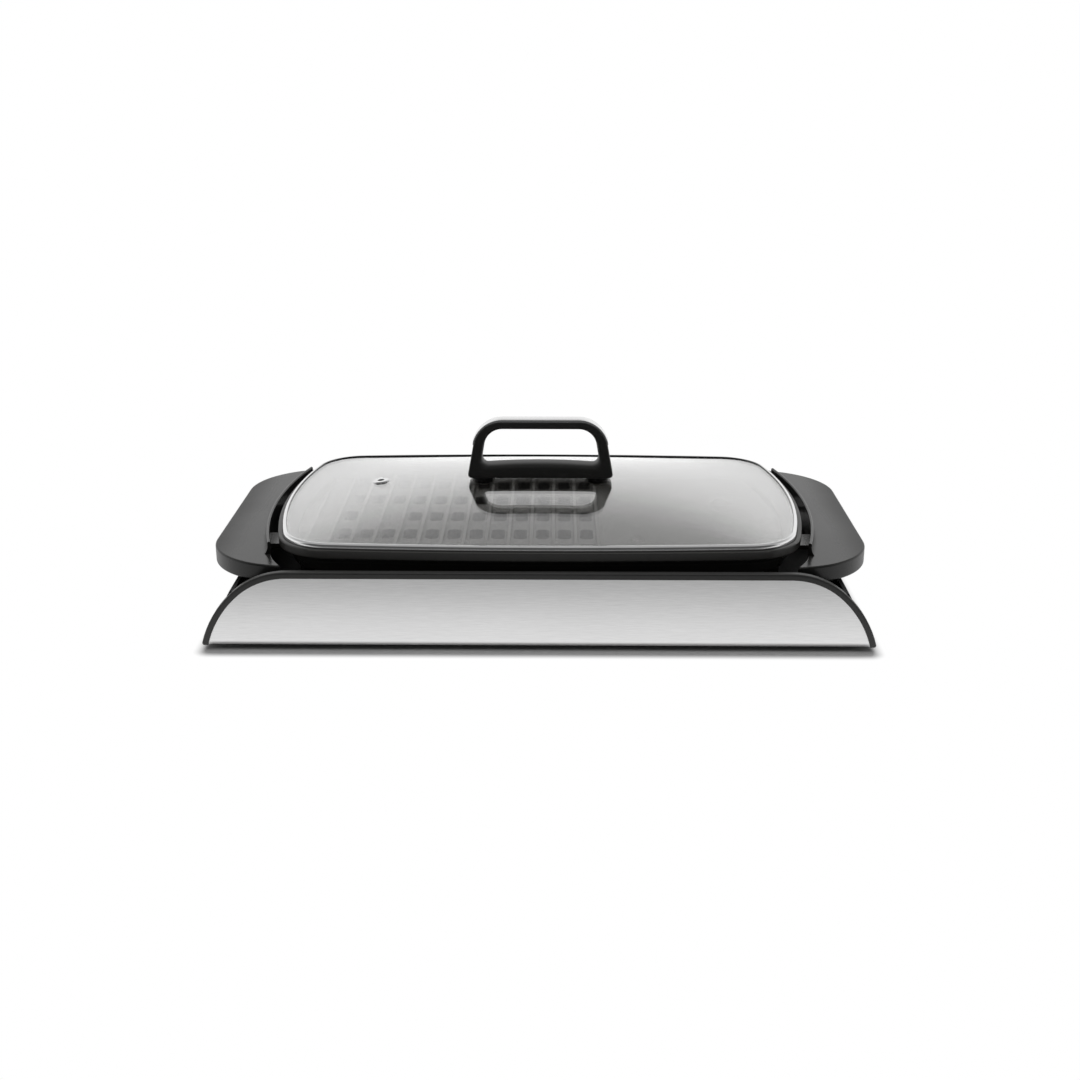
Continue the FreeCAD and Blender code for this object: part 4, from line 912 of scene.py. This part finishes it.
class GRILL_OT_loop(bpy.types.Operator):
    """Finish the loop handle, form its bright strip, and finish its pads and washers"""

    bl_idname = "grill.loop"
    bl_label = "Loop handle"

    def execute(self, context):
        sizes = context.scene.grill_sizes
        tints = context.scene.grill_colours
        self.grip(sizes, tints)
        dress(moulded_rubber("washer_rubber", tints.rubber), "lid_handle_pads", "lid_handle_washers")
        self.bright_strip(sizes, tints)
        return {"FINISHED"}

    def bright_strip(self, sizes, tints):
        """The strip bent over the loop's top and shoulders, crowned across its width."""
        cut = LOOP_HIGH.z - sizes.strip_drop
        inner = self.path(sizes, 0.0, LOOP_HIGH.z, sizes.loop_shoulder, cut)
        outer = self.path(sizes, sizes.strip_lap, LOOP_HIGH.z + sizes.strip,
                          sizes.loop_shoulder + sizes.strip_round, cut)
        half = sizes.strip_half
        crown, edge, seat = 0.22, 0.45, 0.004
        right = [(half, seat), (half, edge)]
        right += [(half * part, 1 - crown * part ** 3) for part in (0.97, 0.90, 0.75, 0.45)]
        across = right + [(0.0, 1.0)] + [(-y, rise) for y, rise in right[::-1]]
        build = bmesh.new()
        rings = []
        for inside, outside in zip(inner, outer):
            rings.append([Vector((inside[0] + (outside[0] - inside[0]) * rise, y,
                                  inside[1] + (outside[1] - inside[1]) * rise)) for y, rise in across])
        add_rings(build, rings)
        chrome = bright_metal("strip_chrome", tints.steel, roughness=0.20, lines=(40.0, 1800.0, 1800.0))
        piece("loop_strip", build, chrome, "lid", ["lid_handle_trim"])

    def grip(self, sizes, tints):
        """The loop itself: soft towards its opening, flatter outside, its lower bar a shallow saddle."""
        low = LOOP_LOW.z
        high = LOOP_HIGH.z

        def side(z):
            return sizes.loop_foot + (sizes.loop_top - sizes.loop_foot) * (z - low) / (high - low)

        bar = low + sizes.loop_bar
        roof = high - sizes.loop_top_bar
        outer = self.ring(side(low), side(high), low, high, sizes.loop_toe, sizes.loop_shoulder)
        inner = self.ring(side(bar) - sizes.loop_arm, side(roof) - sizes.loop_arm, bar, roof,
                          sizes.gap_foot, sizes.gap_top)
        half = max(point.x for point in inner)
        for point in inner:
            fade = 1 - min((point.y - bar) / (roof - bar), 1.0)
            point.y -= sizes.loop_sag * (point.x / half) ** 2 * fade ** 2
        flat, soft = 2 / 9, 2 / 3.2
        taper = sizes.loop_top_half - sizes.loop_foot_half
        rings = []
        for inside, outside in zip(inner, outer):
            ring = []
            for index in range(LOOP_STEPS):
                turn = math.tau * index / LOOP_STEPS
                power = flat if math.sin(turn) > 0 else soft
                reach = math.copysign(abs(math.sin(turn)) ** power, math.sin(turn))
                aside = math.copysign(abs(math.cos(turn)) ** power, math.cos(turn))
                spot = inside.lerp(outside, 0.5 + reach / 2)
                depth = sizes.loop_foot_half + taper * (spot.y - low) / (high - low)
                ring.append(Vector((spot.x, depth * aside, spot.y)))
            rings.append(ring)
        build = bmesh.new()
        add_rings(build, rings, True)
        plastic = grained_plastic("loop_plastic", tints.loop, grain=0.0004, depth=0.000012, roughness=0.42,
                                  gloss=0.3)
        grip = piece("loop_grip", build, plastic, "lid", ["lid_handle"], math.radians(50))
        holes = []
        for box in islands("lid_handle_screws"):
            holes.append(Vector(((box[0].x + box[1].x) / 2, 0.0, low + sizes.loop_bite - BORE_LENGTH / 2)))
        bored(grip, holes, [sizes.loop_bore] * len(holes), [UP] * len(holes))

    def ring(self, foot, top, low, high, toe, shoulder):
        """A closed outline of the loop or its opening, with the same count of points for both."""
        middle_low = Vector((0.0, low))
        middle_high = Vector((0.0, high))
        corner_low = Vector((foot, low))
        corner_high = Vector((top, high))
        bottom = rounded_corner(middle_low, corner_low, corner_high, toe, 10)
        crown = rounded_corner(corner_low, corner_high, middle_high, shoulder, 14)
        right = [middle_low.lerp(bottom[0], part / 8) for part in range(8)] + bottom
        right += [bottom[-1].lerp(crown[0], part / 4) for part in range(1, 4)] + crown
        right += [crown[-1].lerp(middle_high, part / 6) for part in range(1, 7)]
        return right + [Vector((-point.x, point.y)) for point in right[-2:0:-1]]

    def path(self, sizes, lap, top, radius, cut):
        """Points along the loop's outside from one end of the strip to the other."""
        foot = Vector((sizes.loop_foot + lap, LOOP_LOW.z))
        head = Vector((sizes.loop_top + lap, top))
        side = (head - foot).normalized()
        reach = radius / math.tan(math.acos(side.x) / 2)
        start = head - side * reach
        centre = Vector((head.x - reach, top - radius))
        low = foot + side * ((cut - foot.y) / side.y)
        begin = math.degrees(math.atan2(start.y - centre.y, start.x - centre.x))
        right = [tuple(low.lerp(start, part / 4)) for part in range(4)]
        right += arc(centre, radius, begin, 90, 14)
        right += [(centre.x * (1 - part / 6), top) for part in range(1, 6)]
        return right + [(0.0, top)] + [(-x, z) for x, z in right[::-1]]


class GRILL_OT_stage(bpy.types.Operator):
    """Set the table, the backdrop, the softbox and the camera"""

    bl_idname = "grill.stage"
    bl_label = "Stage"

    def execute(self, context):
        scene = context.scene
        stage = scene.grill_stage
        scene.view_settings.view_transform = "Standard"
        self.floor(context, stage)
        self.backdrop(scene, stage)
        lamp = bpy.data.lights.new("softbox", "AREA")
        lamp.shape = "RECTANGLE"
        lamp.size = stage.softbox_width
        lamp.size_y = stage.softbox_depth
        lamp.energy = stage.softbox_power
        light = placed("softbox", lamp)
        light.location = stage.softbox_place
        light.rotation_euler = (stage.softbox_tilt, 0.0, 0.0)
        light.visible_glossy = False
        light.visible_transmission = False
        lens = bpy.data.cameras.new("camera")
        lens.sensor_width = 36.0
        lens.lens = stage.lens
        lens.clip_start = 0.01
        camera = placed("camera", lens)
        camera.location = stage.camera_place
        camera.rotation_euler = (stage.camera_tilt, 0.0, stage.camera_turn)
        scene.camera = camera
        return {"FINISHED"}

    def floor(self, context, stage):
        """A pale table that keeps the grill's shadow, melts into the backdrop and is clear from below."""
        build = bmesh.new()
        bmesh.ops.create_grid(build, x_segments=8, y_segments=8, size=stage.table_half)
        table = placed("table", meshed("table", build))
        table.location = (0.0, 0.0, -stage.table_gap)
        finish = Finish("table_top")
        edges = (("X", CAD_BOX[1][0] - stage.shadow_inset), ("Y", CAD_BOX[1][1]))
        beside = [finish.maths("MAXIMUM", finish.maths("ABSOLUTE", finish.axis(name)) - edge, 0.0)
                  for name, edge in edges]
        away = finish.maths("SQRT", beside[0] * beside[0] + beside[1] * beside[1])
        far = finish.step(away, stage.shadow_near, stage.shadow_far)
        near = finish.step(away, 0.0, stage.shadow_mirrored)
        seen, glossy = self.lookers(finish)[1:]
        ahead = finish.step(0 - finish.axis("Y"), stage.sheen_near, stage.sheen_far)
        glow = finish.mix(glossy * ahead, WHITE, shade(WHITE[:3], stage.front_dark))
        tint = shade(context.scene.grill_colours.floor)
        cloth = finish.node("ShaderNodeBsdfDiffuse", {}, {"Color": tint, "Roughness": 0.4})
        white = finish.node("ShaderNodeEmission", {}, {"Color": glow, "Strength": 1.0})
        top = finish.node("ShaderNodeMixShader", {}, {0: far * seen + near * glossy, 1: cloth, 2: white})
        below = finish.node("ShaderNodeNewGeometry", output="Backfacing")
        clear = finish.node("ShaderNodeBsdfTransparent")
        sheet = finish.node("ShaderNodeMixShader", {}, {0: below, 1: top, 2: clear})
        table.data.materials.append(finish.close(sheet))

    def lookers(self, finish):
        """Ones for rays straight from the camera, for those and rays through glass, and for mirrored rays."""
        straight, through, mirrored = [finish.node("ShaderNodeLightPath", output=name) for name in
                                       ("Is Camera Ray", "Is Transmission Ray", "Is Glossy Ray")]
        seen = finish.maths("MAXIMUM", straight, through)
        return straight, seen, mirrored * (1 - seen)

    def backdrop(self, scene, stage):
        """White surroundings with an unlit side behind the camera."""
        world = bpy.data.worlds.new("studio")
        scene.world = world
        world.use_nodes = True
        finish = Finish("studio", world.node_tree, "Generated")
        unlit, overhead, falling = (0.05, 0.55), (0.60, 0.95), (0.28, 0.70)
        ahead = finish.step(0 - finish.axis("Y"), *unlit)
        low = 1 - finish.step(finish.axis("Z"), *overhead)
        dim = 1 - ahead * low * (1 - stage.front_dark)
        ceiling = 1 - finish.step(finish.axis("Z"), *falling) * stage.ceiling
        straight, seen, glossy = self.lookers(finish)
        bright = finish.maths("MAXIMUM", straight, (seen + glossy * dim) * ceiling)
        tone = finish.mix(bright + (1 - seen - glossy) * dim * stage.fill, BLACK, WHITE)
        sky = finish.node("ShaderNodeBackground", {}, {"Color": tone, "Strength": 1.0})
        finish.close(sky, "ShaderNodeOutputWorld")


PIECES = (GRILL_OT_base, GRILL_OT_feet, GRILL_OT_screws, GRILL_OT_tray, GRILL_OT_plate, GRILL_OT_element,
          GRILL_OT_wings, GRILL_OT_lid, GRILL_OT_loop, GRILL_OT_stage)


class GRILL_PT_panel(bpy.types.Panel):
    """Lists the steps that dress the grill"""

    bl_idname = "GRILL_PT_panel"
    bl_label = "Grill"
    bl_space_type = "VIEW_3D"
    bl_region_type = "UI"
    bl_category = "Grill"

    def draw(self, context):
        for operator in PIECES:
            self.layout.operator(operator.bl_idname)


CLASSES = (GrillSizes, GrillColours, GrillStage) + PIECES + (GRILL_PT_panel,)


def register():
    for kind in CLASSES:
        bpy.utils.register_class(kind)
    bpy.types.Scene.grill_sizes = PointerProperty(type=GrillSizes)
    bpy.types.Scene.grill_colours = PointerProperty(type=GrillColours)
    bpy.types.Scene.grill_stage = PointerProperty(type=GrillStage)


def unregister():
    del bpy.types.Scene.grill_sizes
    del bpy.types.Scene.grill_colours
    del bpy.types.Scene.grill_stage
    for kind in reversed(CLASSES):
        bpy.utils.unregister_class(kind)


def main():
    """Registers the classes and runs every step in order."""
    register()
    for operator in PIECES:
        group, name = operator.bl_idname.split(".")
        getattr(getattr(bpy.ops, group), name)()


if __name__ == "__main__":
    main()
